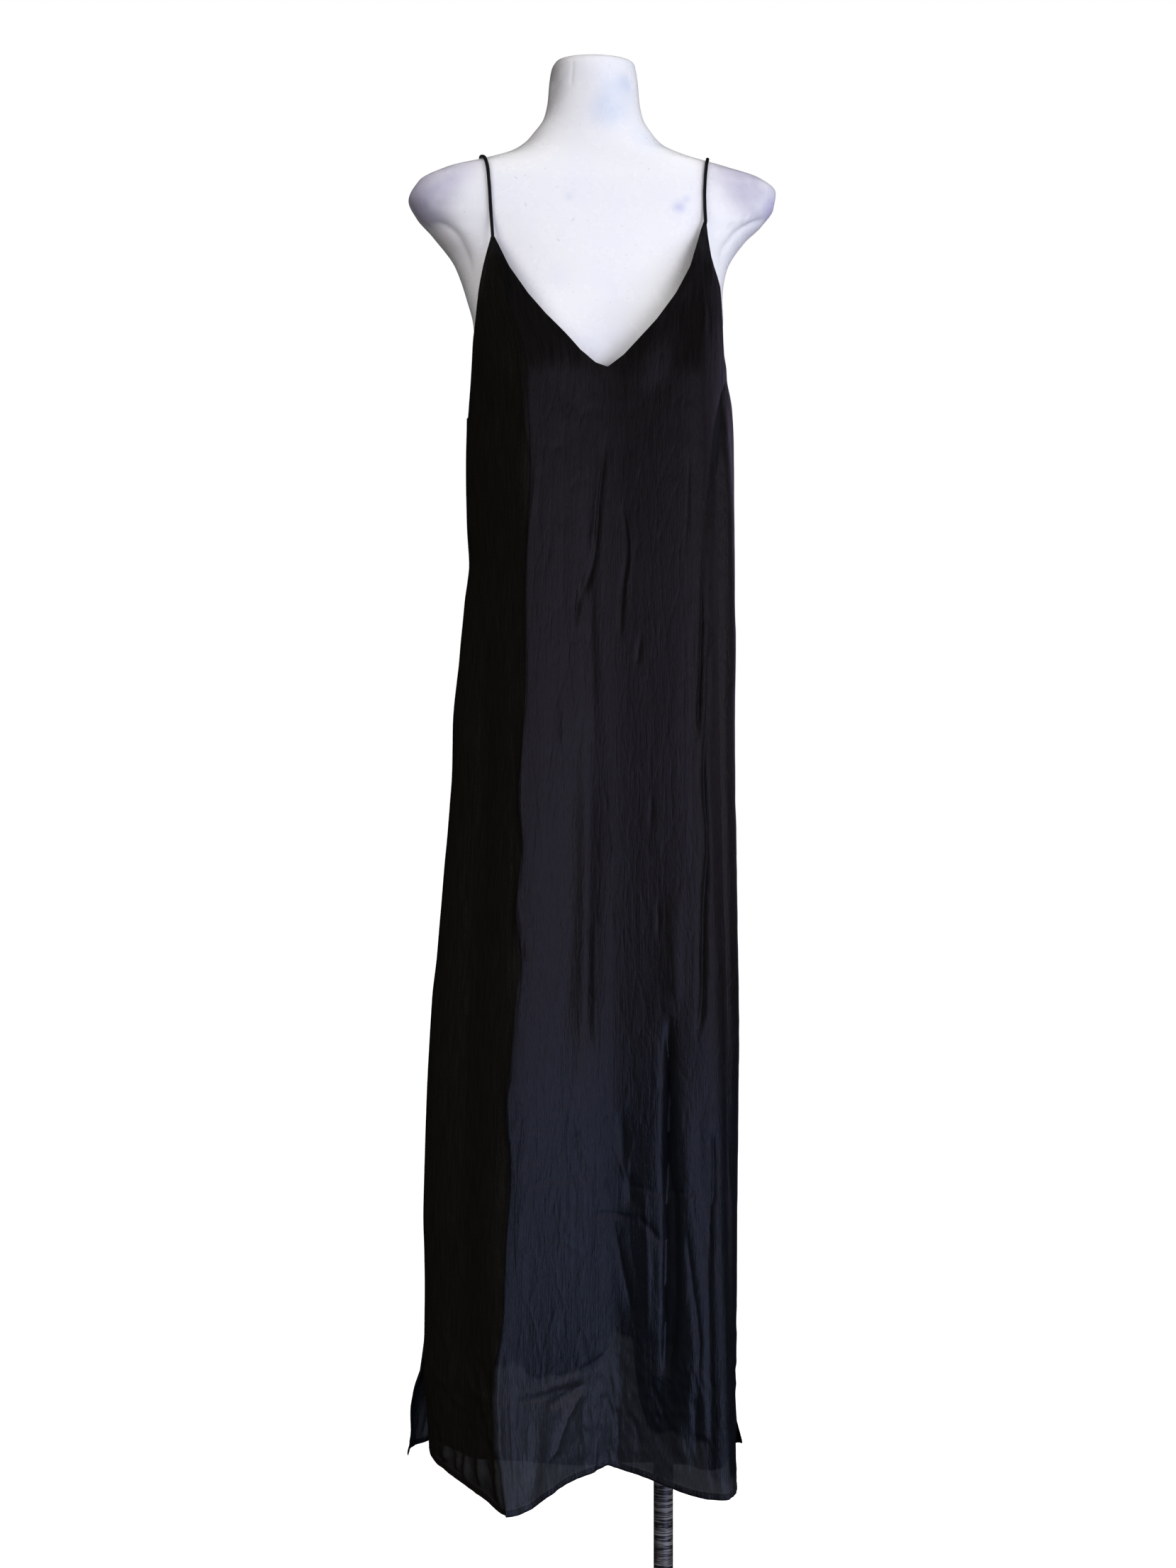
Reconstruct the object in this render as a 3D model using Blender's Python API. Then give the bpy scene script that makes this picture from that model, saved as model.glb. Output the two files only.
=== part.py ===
"""A long slip dress with thin straps, hanging on a limbless dress form that stands on a pole and a base plate.

Metres, +Z up. The form faces -Y, and +X is on the right of someone who looks at its front. The origin is on the
floor, under the form's own upright axis, in the middle of the base plate.

The dress is a tube of cloth round the form: a ring of eight rails gives its section at each height. The front
panel takes the front half of the ring and the back panel the back half, with folds as soft ridges and troughs.
Cloth is a wall with an outer face and an inner face, and the lining hangs inside it.
"""

import math

import bpy
import numpy as np
from mathutils import Vector
from mathutils.bvhtree import BVHTree

# ---- Driving dimensions ----

# Between the stand's parts.
CLEARANCE = 0.0003

# The cloth's walls, the turned hem, and the air between the panels, the lining and the form.
CLOTH = 0.0012
LINING_CLOTH = 0.0010
HEM_CLOTH = 0.0022
HEM_BAND = 0.0068
HEM_STEP = 0.0010
LAYER_GAP = 0.0018
EDGE_LAYER_GAP = 0.0009
EDGE_TUCK_REACH = 0.030
FORM_GAP = 0.0018

STRAP_RADIUS = 0.00185
STRAP_SIDES_RESOLUTION = 1
STRAP_FORM_GAP = 0.0008
STRAP_SEAT_GAP = 0.0007
STRAP_POINTS = 36
STRAP_SETTLING = 6

# The side slits, and how far across a panel its free edge's swing is felt.
SLIT_TOP = 0.308
SLIT_FOOT = 0.210
SLIT_REACH = 0.060
PANEL_WIDTH = 0.460
# How far each panel stops short of the seam, in rails.
SEAM_SHIFT = 0.0018

# The lining stops this far below the top edge, and no higher than this.
LINING_SET_BACK = 0.004
LINING_TOP = 1.472

FORM_BOTTOM = 0.860
FORM_COLUMNS = 36

BUST_SPACING = 0.087
BUST_HEIGHT = 1.343
BUST_SWELL = 0.036
BUST_SPREAD = 0.046
BUST_ABOVE = 0.062
BUST_BELOW = 0.048
BUST_SIDE_FADE = 1.6

POLE_X = 0.073
POLE_RADIUS = 0.0104
POLE_SIDES = 24
COLLAR_RADIUS = 0.0185
COLLAR_HEIGHT = 0.036
FLANGE_RADIUS = 0.040
FLANGE_HEIGHT = 0.004
BASE_RADIUS = 0.175
BASE_HEIGHT = 0.008
BASE_BEVEL = 0.0015
BASE_SIDES = 48

# Sections of the dress form: height, half width, lean towards +X, reach to the front and to the back, squareness.
FORM_SECTIONS = (
    (0.8600, 0.1180, 0.000, 0.0760, 0.0900, 2.20),
    (0.8640, 0.1235, 0.000, 0.0800, 0.0950, 2.20),
    (0.8800, 0.1250, 0.000, 0.0810, 0.0960, 2.15),
    (0.9300, 0.1280, 0.000, 0.0810, 0.1030, 2.05),
    (0.9850, 0.1285, 0.000, 0.0820, 0.1050, 2.00),
    (1.0500, 0.1215, 0.000, 0.0820, 0.0940, 2.00),
    (1.1200, 0.1090, 0.000, 0.0790, 0.0750, 2.00),
    (1.1900, 0.1030, 0.000, 0.0770, 0.0650, 2.05),
    (1.2600, 0.1120, 0.000, 0.0820, 0.0720, 2.20),
    (1.3300, 0.1240, 0.001, 0.0880, 0.0830, 2.25),
    (1.3800, 0.1285, 0.003, 0.0890, 0.0890, 2.30),
    (1.4145, 0.1320, 0.003, 0.0850, 0.0915, 2.40),
    (1.4445, 0.1360, -0.001, 0.0780, 0.0920, 2.40),
    (1.4745, 0.1440, -0.004, 0.0710, 0.0900, 2.40),
    (1.5075, 0.1670, -0.006, 0.0630, 0.0850, 2.50),
    (1.5255, 0.1845, -0.005, 0.0590, 0.0810, 2.60),
    (1.5435, 0.1945, -0.003, 0.0555, 0.0760, 2.60),
    (1.5615, 0.1910, 0.002, 0.0520, 0.0700, 2.60),
    (1.5770, 0.1690, 0.006, 0.0480, 0.0630, 2.50),
    (1.5865, 0.1350, 0.007, 0.0460, 0.0600, 2.35),
    (1.5965, 0.0960, 0.003, 0.0445, 0.0570, 2.20),
    (1.6060, 0.0750, -0.001, 0.0435, 0.0545, 2.10),
    (1.6155, 0.0645, -0.002, 0.0430, 0.0530, 2.00),
    (1.6335, 0.0525, -0.002, 0.0430, 0.0505, 2.00),
    (1.6515, 0.0485, -0.002, 0.0430, 0.0490, 2.00),
    (1.6695, 0.0470, -0.002, 0.0430, 0.0480, 2.00),
    (1.6845, 0.0445, -0.002, 0.0405, 0.0460, 2.00),
    (1.6925, 0.0405, -0.002, 0.0350, 0.0415, 2.00),
    (1.6955, 0.0340, -0.002, 0.0240, 0.0330, 2.00),
    (1.6965, 0.0220, -0.002, 0.0140, 0.0220, 2.00),
)
# The most that the form's rings rise, and grow in half width, from one to the next.
FORM_RING_RISE = 0.036
FORM_RING_GROWTH = 0.013

# The cloth's eight rails at each height, x then y, round the ring: left seam, left front corner, centre front,
# right front corner, right seam, right back, centre back, left back.
RAILS = (
    (0.190, -0.178, 0.024, -0.107, -0.137, 0.001, -0.076, 0.115, -0.131, 0.140, -0.024,
     0.114, 0.108, 0.000, 0.110, -0.127, 0.124),
    (0.300, -0.180, 0.020, -0.114, -0.134, 0.001, -0.088, 0.113, -0.131, 0.138, -0.022,
     0.114, 0.107, 0.000, 0.113, -0.127, 0.122),
    (0.450, -0.179, 0.018, -0.112, -0.131, 0.001, -0.100, 0.110, -0.128, 0.141, -0.018,
     0.114, 0.106, 0.000, 0.116, -0.125, 0.119),
    (0.700, -0.171, 0.015, -0.103, -0.127, 0.001, -0.110, 0.106, -0.125, 0.1475, -0.012,
     0.113, 0.104, 0.000, 0.119, -0.120, 0.112),
    (0.850, -0.157, 0.013, -0.097, -0.125, 0.001, -0.113, 0.101, -0.122, 0.147, -0.010,
     0.109, 0.102, 0.000, 0.121, -0.113, 0.108),
    (0.980, -0.1495, 0.012, -0.093, -0.123, 0.001, -0.115, 0.097, -0.120, 0.1475, -0.008,
     0.106, 0.100, 0.000, 0.122, -0.106, 0.103),
    (1.160, -0.132, 0.008, -0.090, -0.120, 0.000, -0.114, 0.095, -0.118, 0.148, -0.006,
     0.098, 0.086, 0.000, 0.106, -0.096, 0.087),
    (1.250, -0.1355, 0.006, -0.090, -0.119, 0.000, -0.112, 0.094, -0.117, 0.147, -0.004,
     0.092, 0.082, 0.000, 0.101, -0.092, 0.082),
    (1.345, -0.135, 0.005, -0.089, -0.118, 0.000, -0.108, 0.092, -0.117, 0.143, -0.002,
     0.087, 0.080, 0.000, 0.099, -0.088, 0.080),
    (1.430, -0.137, 0.003, -0.105, -0.083, -0.003, -0.098, 0.099, -0.086, 0.141, 0.000,
     0.085, 0.082, 0.000, 0.100, -0.086, 0.082),
    (1.505, -0.140, 0.000, -0.1195, -0.056, -0.005, -0.086, 0.106, -0.056, 0.140, 0.000,
     0.085, 0.080, 0.000, 0.098, -0.086, 0.080),
)
# How round the ring turns at each rail: low is a crease, 0.5 an even curve.
RAIL_ROUNDNESS = (0.45, 0.30, 0.50, 0.34, 0.42, 0.42, 0.50, 0.42)

# The front's top edge, x then height: left armhole, left point, neckline, right point, right armhole.
FRONT_EDGE = (
    (-0.1336, 1.3207), (-0.1330, 1.3374), (-0.1320, 1.3786), (-0.1301, 1.4116), (-0.1275, 1.4408),
    (-0.1234, 1.4692), (-0.1186, 1.4935), (-0.1154, 1.4935), (-0.1015, 1.4596), (-0.0840, 1.4302),
    (-0.0672, 1.4080), (-0.0485, 1.3880), (-0.0332, 1.3706), (-0.0175, 1.3582), (-0.0047, 1.3542),
    (0.0116, 1.3670), (0.0301, 1.3872), (0.0452, 1.4039), (0.0668, 1.4323), (0.0860, 1.4651),
    (0.1046, 1.5120), (0.1076, 1.5120), (0.1136, 1.4882), (0.1215, 1.4664), (0.1271, 1.4542),
    (0.1290, 1.4345), (0.1303, 1.4051), (0.1336, 1.3732), (0.1401, 1.3410), (0.1420, 1.3247),
)
# The back's top edge: left armhole, left strap point, centre, right strap point, right armhole.
BACK_EDGE = (
    (-0.1345, 1.3207), (-0.1280, 1.3290), (-0.1100, 1.3560), (-0.0900, 1.3840), (-0.0860, 1.3840),
    (-0.0600, 1.3640), (-0.0300, 1.3520), (0.0000, 1.3490), (0.0300, 1.3520), (0.0600, 1.3640),
    (0.0850, 1.3840), (0.0890, 1.3840), (0.1100, 1.3560), (0.1300, 1.3300), (0.1420, 1.3247),
)

# Hem heights across a panel, from its first seam (0) to its second (1).
FRONT_HEM = (
    (0.00, 0.222), (0.12, 0.210), (0.25, 0.196), (0.36, 0.2095), (0.50, 0.230), (0.62, 0.209), (0.75, 0.198),
    (0.88, 0.200), (1.00, 0.211),
)
BACK_HEM = (
    (0.00, 0.214), (0.15, 0.184), (0.30, 0.174), (0.50, 0.172), (0.70, 0.177), (0.85, 0.189), (1.00, 0.215),
)
FRONT_LINING_HEM = (
    (0.00, 0.345), (0.25, 0.352), (0.39, 0.332), (0.46, 0.341), (0.515, 0.366), (0.56, 0.362), (0.61, 0.326),
    (0.75, 0.315), (1.00, 0.318),
)
BACK_LINING_HEM = ((0.00, 0.318), (0.50, 0.338), (1.00, 0.345))

# How far the lining hangs inside the cloth's inner face, by height.
LINING_STAND_OFF = (
    (0.300, 0.0160), (0.700, 0.0160), (0.840, 0.0110), (1.120, 0.0100), (1.220, 0.0075), (1.290, LAYER_GAP),
    (1.520, LAYER_GAP),
)

# How far each free hem corner below a slit swings from the seam's line: x, y.
SLIT_SWING = {
    ("front", 0): (0.005, -0.006),
    ("front", 1): (-0.004, -0.042),
    ("back", 0): (0.022, 0.026),
    ("back", 1): (-0.014, 0.046),
}

# Folds: place across the panel at the fold's top and foot, height of its top and foot, half width across,
# depth (outward is positive).
FRONT_FOLDS = (
    (0.800, 0.790, 1.260, 0.560, 0.028, -0.0070),
    (0.870, 0.865, 1.300, 0.300, 0.034, 0.0050),
    (0.620, 0.625, 0.700, 0.290, 0.020, -0.0130),
    (0.655, 0.665, 0.690, 0.250, 0.020, 0.0080),
    (0.700, 0.705, 0.560, 0.240, 0.016, -0.0070),
    (0.585, 0.580, 0.640, 0.330, 0.020, 0.0060),
    (0.420, 0.440, 1.240, 0.980, 0.016, -0.0040),
    (0.530, 0.500, 1.290, 1.060, 0.014, -0.0035),
    (0.600, 0.585, 1.230, 1.080, 0.014, -0.0035),
    (0.440, 0.430, 1.020, 0.660, 0.026, -0.0045),
    (0.225, 0.230, 0.640, 0.300, 0.020, -0.0050),
    (0.100, 0.120, 1.120, 0.250, 0.034, -0.0060),
    (0.370, 0.330, 0.330, 0.215, 0.018, 0.0060),
)
BACK_FOLDS = (
    (0.300, 0.270, 0.860, 0.200, 0.040, -0.0110),
    (0.400, 0.400, 0.930, 0.200, 0.036, 0.0100),
    (0.520, 0.500, 0.850, 0.200, 0.038, -0.0120),
    (0.640, 0.620, 0.950, 0.200, 0.036, 0.0100),
    (0.740, 0.750, 0.870, 0.200, 0.040, -0.0110),
    (0.300, 0.280, 1.320, 1.060, 0.036, 0.0040),
    (0.680, 0.700, 1.320, 1.050, 0.036, 0.0040),
)
# Height over which a fold comes in at its top and goes out at its foot.
FOLD_FADE = 0.14

# The top edge is sought between these heights, by halving the gap this many times.
EDGE_SEARCH = (1.30, 1.53)
EDGE_HALVINGS = 24
# Step along the ring, in rails, that gives its direction.
RING_STEP = 0.01
# A surface whose normal is less level than this counts as flat, and is left sideways.
LEAST_LEVEL = 0.2
CLEARING_TRIES = 4

# Levels that every column of a panel shares; below them rows run to the hem, above them to the top edge.
PANEL_LEVELS = (
    0.300, 0.360, 0.430, 0.500, 0.570, 0.640, 0.710, 0.780, 0.850, 0.920, 0.990, 1.060, 1.120, 1.180, 1.235, 1.280,
)
LINING_LEVELS = (0.430, 0.570, 0.700, 0.800, 0.860, 0.920, 0.985, 1.050, 1.120, 1.180, 1.235, 1.280)
FRONT_COLUMNS_PER_SPAN = 12
BACK_COLUMNS_PER_SPAN = 8
SLIT_ROWS = 3
FRONT_TOP_ROWS = 6
BACK_TOP_ROWS = 3
POINT_COLUMN_SHIFT = 0.017

# Strap routes over the shoulder, between the front point and the back point: x, y, height.
# Each strap is laid along its route in even steps, and lifted off the form after each laying.
STRAP_ROUTES = {
    "strap_left": (
        (-0.1190, -0.0540, 1.5200), (-0.1208, -0.0470, 1.5500), (-0.1222, -0.0330, 1.5750),
        (-0.1197, -0.0050, 1.5880), (-0.1160, 0.0250, 1.5810), (-0.1080, 0.0550, 1.5550),
        (-0.1020, 0.0740, 1.5080), (-0.0950, 0.0800, 1.4450),
    ),
    "strap_right": (
        (0.1080, -0.0540, 1.5300), (0.1092, -0.0460, 1.5530), (0.1130, -0.0320, 1.5750),
        (0.1190, -0.0050, 1.5880), (0.1165, 0.0250, 1.5810), (0.1085, 0.0550, 1.5550),
        (0.1020, 0.0740, 1.5080), (0.0945, 0.0800, 1.4450),
    ),
}

# Finishes: colour, roughness, metallic.
FINISHES = {
    "black_satin": ((0.012, 0.012, 0.018), 0.45, 0.0),
    "black_lining": ((0.010, 0.010, 0.012), 0.70, 0.0),
    "white_shell": ((0.80, 0.80, 0.82), 0.25, 0.0),
    "dark_steel": ((0.08, 0.08, 0.08), 0.35, 0.9),
    "base_steel": ((0.55, 0.55, 0.56), 0.35, 1.0),
}


# ---- Tables read smoothly ----


class SmoothTable:
    """Rows of numbers led by a key, with each column's smooth value at any key between, free of overshoot."""

    def __init__(self, rows):
        rows = np.array(sorted(rows), dtype=float)
        self.keys = rows[:, 0]
        self.values = rows[:, 1:]
        step = np.diff(self.keys)[:, None]
        slope = np.diff(self.values, axis=0) / step
        self.slopes = np.zeros_like(self.values)
        self.slopes[0] = slope[0]
        self.slopes[-1] = slope[-1]
        before, after = slope[:-1], slope[1:]
        same_way = before * after > 0
        weight_before = 2 * step[1:] + step[:-1]
        weight_after = step[1:] + 2 * step[:-1]
        safe_before = np.where(same_way, before, 1.0)
        safe_after = np.where(same_way, after, 1.0)
        mean = (weight_before + weight_after) / (weight_before / safe_before + weight_after / safe_after)
        self.slopes[1:-1] = np.where(same_way, mean, 0.0)

    def at(self, key):
        key = min(max(key, self.keys[0]), self.keys[-1])
        row = min(int(np.searchsorted(self.keys, key, side="right")) - 1, len(self.keys) - 2)
        width = self.keys[row + 1] - self.keys[row]
        part = (key - self.keys[row]) / width
        value = (2 * part**3 - 3 * part**2 + 1) * self.values[row]
        value = value + (part**3 - 2 * part**2 + part) * width * self.slopes[row]
        value = value + (-2 * part**3 + 3 * part**2) * self.values[row + 1]
        return value + (part**3 - part**2) * width * self.slopes[row + 1]


def smooth_step(value):
    """Nought below 0, one above 1, and a soft rise between."""
    value = min(max(value, 0.0), 1.0)
    return value * value * (3 - 2 * value)


# ---- Objects ----


def clear_scene():
    for existing in list(bpy.data.objects):
        bpy.data.objects.remove(existing, do_unlink=True)


def finish(name):
    material = bpy.data.materials.get(name)
    if material:
        return material
    colour, roughness, metallic = FINISHES[name]
    material = bpy.data.materials.new(name)
    material.use_nodes = True
    shader = material.node_tree.nodes["Principled BSDF"]
    shader.inputs["Base Color"].default_value = (*colour, 1.0)
    shader.inputs["Roughness"].default_value = roughness
    shader.inputs["Metallic"].default_value = metallic
    return material


def add_object(name, data, finish_name):
    data.materials.append(finish(finish_name))
    part = bpy.data.objects.new(name, data)
    bpy.context.scene.collection.objects.link(part)
    return part


def add_mesh(name, points, faces, finish_name, sharp_angle):
    mesh = bpy.data.meshes.new(name)
    mesh.from_pydata([tuple(point) for point in points], [], faces)
    mesh.shade_smooth()
    mesh.set_sharp_from_angle(angle=math.radians(sharp_angle))
    return add_object(name, mesh, finish_name)


def ring_loft(rings):
    """Points and faces of a capped body through rings of equal length that turn anticlockwise and climb."""
    count = len(rings[0])
    points = [point for ring in rings for point in ring]
    faces = []
    for row in range(len(rings) - 1):
        for column in range(count):
            after = (column + 1) % count
            low, high = row * count, (row + 1) * count
            faces.append((low + column, low + after, high + after))
            faces.append((low + column, high + after, high + column))
    last = (len(rings) - 1) * count
    faces.append(tuple(reversed(range(count))))
    faces.append(tuple(range(last, last + count)))
    return points, faces


def turned(profile, sides):
    """Points and faces of a body turned about +Z from (radius, height) pairs that run round its section."""
    points = []
    for step in range(sides):
        angle = 2 * math.pi * step / sides
        for radius, height in profile:
            points.append((radius * math.cos(angle), radius * math.sin(angle), height))
    count = len(profile)
    faces = []
    for step in range(sides):
        here = step * count
        there = ((step + 1) % sides) * count
        for row in range(count):
            after = (row + 1) % count
            faces.append((here + row, there + row, there + after, here + after))
    return points, faces


# ---- The dress form ----


def bust_swell(x, height):
    spread_up = BUST_ABOVE if height > BUST_HEIGHT else BUST_BELOW
    across = (abs(x) - BUST_SPACING) / BUST_SPREAD
    up = (height - BUST_HEIGHT) / spread_up
    return BUST_SWELL * math.exp(-(across**2) - up**2)


def form_ring(sections, height):
    half_width, lean, front, back, squareness = sections.at(height)
    ring = []
    for step in range(FORM_COLUMNS):
        angle = 2 * math.pi * step / FORM_COLUMNS
        along, across = math.cos(angle), math.sin(angle)
        x = half_width * math.copysign(abs(along) ** (2 / squareness), along)
        depth = back if across > 0 else front
        y = depth * math.copysign(abs(across) ** (2 / squareness), across)
        if across < 0:
            y -= bust_swell(x, height) * min(1.0, BUST_SIDE_FADE * abs(across))
        ring.append((x + lean, y, height))
    return ring


def form_heights():
    """The table's own heights, with more between where they are far apart."""
    heights = [FORM_SECTIONS[0][0]]
    for low, high in zip(FORM_SECTIONS, FORM_SECTIONS[1:]):
        gap = high[0] - low[0]
        growth = abs(high[1] - low[1])
        steps = max(1, round(gap / FORM_RING_RISE), round(growth / FORM_RING_GROWTH))
        heights += [low[0] + gap * step / steps for step in range(1, steps + 1)]
    return heights


def make_form():
    sections = SmoothTable(FORM_SECTIONS)
    points, faces = ring_loft([form_ring(sections, height) for height in form_heights()])
    add_mesh("dress_form", points, faces, "white_shell", 50)
    return BVHTree.FromPolygons([Vector(point) for point in points], faces)


def clear_of(form, point, clearance):
    """The point moved level, away from the form's surface, until it is at least this clear of it."""
    point = Vector(point)
    for _ in range(CLEARING_TRIES):
        nearest, normal, _, distance = form.find_nearest(point)
        if nearest is None:
            return point
        outside = (point - nearest).dot(normal) >= 0
        signed = distance if outside else -distance
        if signed >= clearance:
            return point
        level = Vector((normal.x, normal.y, 0.0))
        if level.length < LEAST_LEVEL:
            level = Vector((point.x, point.y, 0.0))
        point = point + level.normalized() * (clearance - signed)
    return point


# ---- The cloth ----


class Cloth:
    """The tube of cloth: its ring at each height, its folds, and the two panels cut from it."""

    def __init__(self, form):
        self.form = form
        self.rails = SmoothTable(RAILS)
        self.folds = {"front": FRONT_FOLDS, "back": BACK_FOLDS}
        self.hems = {"front": SmoothTable(FRONT_HEM), "back": SmoothTable(BACK_HEM)}
        self.lining_stand_off = SmoothTable(LINING_STAND_OFF)
        self.lining_hems = {"front": SmoothTable(FRONT_LINING_HEM), "back": SmoothTable(BACK_LINING_HEM)}

    def ring_point(self, turn, height):
        """A point of the smooth ring. The turn counts rails from the left seam, 8 all round."""
        rails = self.rails.at(height).reshape(-1, 2)
        count = len(rails)
        turn %= count
        rail = int(turn)
        part = turn - rail
        start, end = rails[rail], rails[(rail + 1) % count]
        leave = RAIL_ROUNDNESS[rail] * (end - rails[rail - 1])
        arrive = RAIL_ROUNDNESS[(rail + 1) % count] * (rails[(rail + 2) % count] - start)
        place = (2 * part**3 - 3 * part**2 + 1) * start + (part**3 - 2 * part**2 + part) * leave
        return place + (-2 * part**3 + 3 * part**2) * end + (part**3 - part**2) * arrive

    def turn_of(self, panel, across):
        return 4 * across + (4 if panel == "back" else 0)

    def fold_depth(self, panel, across, height):
        total = 0.0
        for top_across, foot_across, top, foot, half_width, depth in self.folds[panel]:
            part = (top - height) / (top - foot)
            middle = top_across + (foot_across - top_across) * min(max(part, 0.0), 1.0)
            fade = smooth_step((top - height) / FOLD_FADE) * smooth_step((height - foot) / FOLD_FADE + 0.5)
            total += depth * fade * math.exp(-(((across - middle) / half_width) ** 2))
        return total

    def swing(self, panel, across, height):
        """How far the slits let the panel's free edges swing, as x and y."""
        fall = (SLIT_TOP - height) / (SLIT_TOP - SLIT_FOOT)
        if fall <= 0:
            return np.zeros(2)
        total = np.zeros(2)
        for side in (0, 1):
            away = abs(across - side) * PANEL_WIDTH / SLIT_REACH
            total += np.array(SLIT_SWING[panel, side]) * fall * math.exp(-(away**2))
        return total

    def smooth_point(self, panel, across, height, inward):
        """A point of the cloth without folds, this far inside its outer face, clear of the form."""
        turn = self.turn_of(panel, across)
        place = self.ring_point(turn, height)
        along = self.ring_point(turn + RING_STEP, height) - self.ring_point(turn - RING_STEP, height)
        outward = np.array((along[1], -along[0])) / np.hypot(*along)
        place = place + self.swing(panel, across, height) - outward * inward
        return place, outward

    def outer_point(self, panel, across, height):
        place, outward = self.smooth_point(panel, across, height, 0.0)
        place = place + outward * self.fold_depth(panel, across, height)
        clearance = CLOTH + LAYER_GAP + LINING_CLOTH + FORM_GAP
        return clear_of(self.form, (place[0], place[1], height), clearance)

    def lining_point(self, panel, across, height, tuck):
        stand_off = self.lining_stand_off.at(height)[0] - tuck
        place, _ = self.smooth_point(panel, across, height, CLOTH + stand_off)
        return clear_of(self.form, (place[0], place[1], height), LINING_CLOTH + FORM_GAP)

    def top_of(self, panel, across):
        """The height at which this column meets the panel's top edge."""
        edge = FRONT_EDGE if panel == "front" else BACK_EDGE
        edge_x = [x for x, _ in edge]
        edge_height = [height for _, height in edge]
        low, high = EDGE_SEARCH
        for _ in range(EDGE_HALVINGS):
            middle = (low + high) / 2
            point = self.outer_point(panel, across, middle)
            if np.interp(point.x, edge_x, edge_height) > middle:
                low = middle
            else:
                high = middle
        return low


def columns_of(spans, per_span):
    """Places across a panel: even between the seams, with two close ones at each strap point."""
    count = spans * per_span
    places = [column / count for column in range(count + 1)]
    points = (per_span / count, 1 - per_span / count)
    places = [place for place in places if min(abs(place - point) for point in points) > 1e-6]
    for point in points:
        places += [point - POINT_COLUMN_SHIFT / spans, point + POINT_COLUMN_SHIFT / spans]
    places.sort()
    places[0] = SEAM_SHIFT / spans
    places[-1] = 1 - SEAM_SHIFT / spans
    return places


def column_heights(foot, top, top_rows):
    """Row heights of one column, from the hem's edge to the top edge."""
    band_top = foot + HEM_BAND
    clear_of_band = band_top + HEM_STEP
    heights = [foot, band_top]
    lowest = PANEL_LEVELS[0]
    heights += [clear_of_band + (lowest - clear_of_band) * row / SLIT_ROWS for row in range(SLIT_ROWS)]
    heights += PANEL_LEVELS
    highest = PANEL_LEVELS[-1]
    heights += [highest + (top - highest) * row / top_rows for row in range(1, top_rows + 1)]
    return heights


def grid_normals(grid):
    """Unit normals of a grid of rows by columns, on the side that its columns and rows turn round."""
    across = np.gradient(grid, axis=1)
    up = np.gradient(grid, axis=0)
    normals = np.cross(across, up)
    return normals / np.linalg.norm(normals, axis=2, keepdims=True)


def wall(outer, inner):
    """Points and triangles of the closed wall between two grids of rows by columns."""
    rows, columns = outer.shape[:2]

    def number(layer, row, column):
        return (layer * rows + row) * columns + column

    faces = []

    def add_quad(a, b, c, d):
        faces.append((a, b, c))
        faces.append((a, c, d))

    for row in range(rows - 1):
        for column in range(columns - 1):
            corners = [(row, column), (row, column + 1), (row + 1, column + 1), (row + 1, column)]
            add_quad(*(number(0, *corner) for corner in corners))
            low, low_after, high_after, high = (number(1, *corner) for corner in corners)
            faces.append((low, high_after, low_after))
            faces.append((low, high, high_after))
    for column in range(columns - 1):
        add_quad(number(0, 0, column + 1), number(0, 0, column), number(1, 0, column), number(1, 0, column + 1))
        top = rows - 1
        add_quad(
            number(0, top, column), number(0, top, column + 1),
            number(1, top, column + 1), number(1, top, column),
        )
    for row in range(rows - 1):
        add_quad(number(0, row, 0), number(0, row + 1, 0), number(1, row + 1, 0), number(1, row, 0))
        end = columns - 1
        add_quad(number(0, row + 1, end), number(0, row, end), number(1, row, end), number(1, row + 1, end))
    return np.concatenate([outer.reshape(-1, 3), inner.reshape(-1, 3)]), faces


def inner_face(cloth, panel, columns, outer, thickness):
    """The inner grid of a wall. Its edge at a seam is square to the whole ring, so that two panels' edges meet."""
    normals = grid_normals(outer)
    for column in (0, -1):
        for row in range(len(outer)):
            _, outward = cloth.smooth_point(panel, columns[column], outer[row, column, 2], 0.0)
            normals[row, column] = (*outward, 0.0)
    return outer - normals * thickness[:, None, None]


def make_panel(cloth, panel, per_span, top_rows):
    columns = columns_of(4, per_span)
    outer = []
    for across in columns:
        foot = cloth.hems[panel].at(across)[0]
        heights = column_heights(foot, cloth.top_of(panel, across), top_rows)
        outer.append([cloth.outer_point(panel, across, height) for height in heights])
    outer = np.array(outer).transpose(1, 0, 2)
    thickness = np.full(len(outer), CLOTH)
    thickness[:2] = HEM_CLOTH
    inner = inner_face(cloth, panel, columns, outer, thickness)
    points, faces = wall(outer, inner)
    add_mesh(f"{panel}_panel", points, faces, "black_satin", 50)
    middle = (outer[-1] + inner[-1]) / 2
    seats = []
    for point in (1 / 4, 3 / 4):
        near = [column for column, across in enumerate(columns) if abs(across - point) < POINT_COLUMN_SHIFT / 3]
        seats.append(middle[near].mean(axis=0))
    return seats


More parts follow.
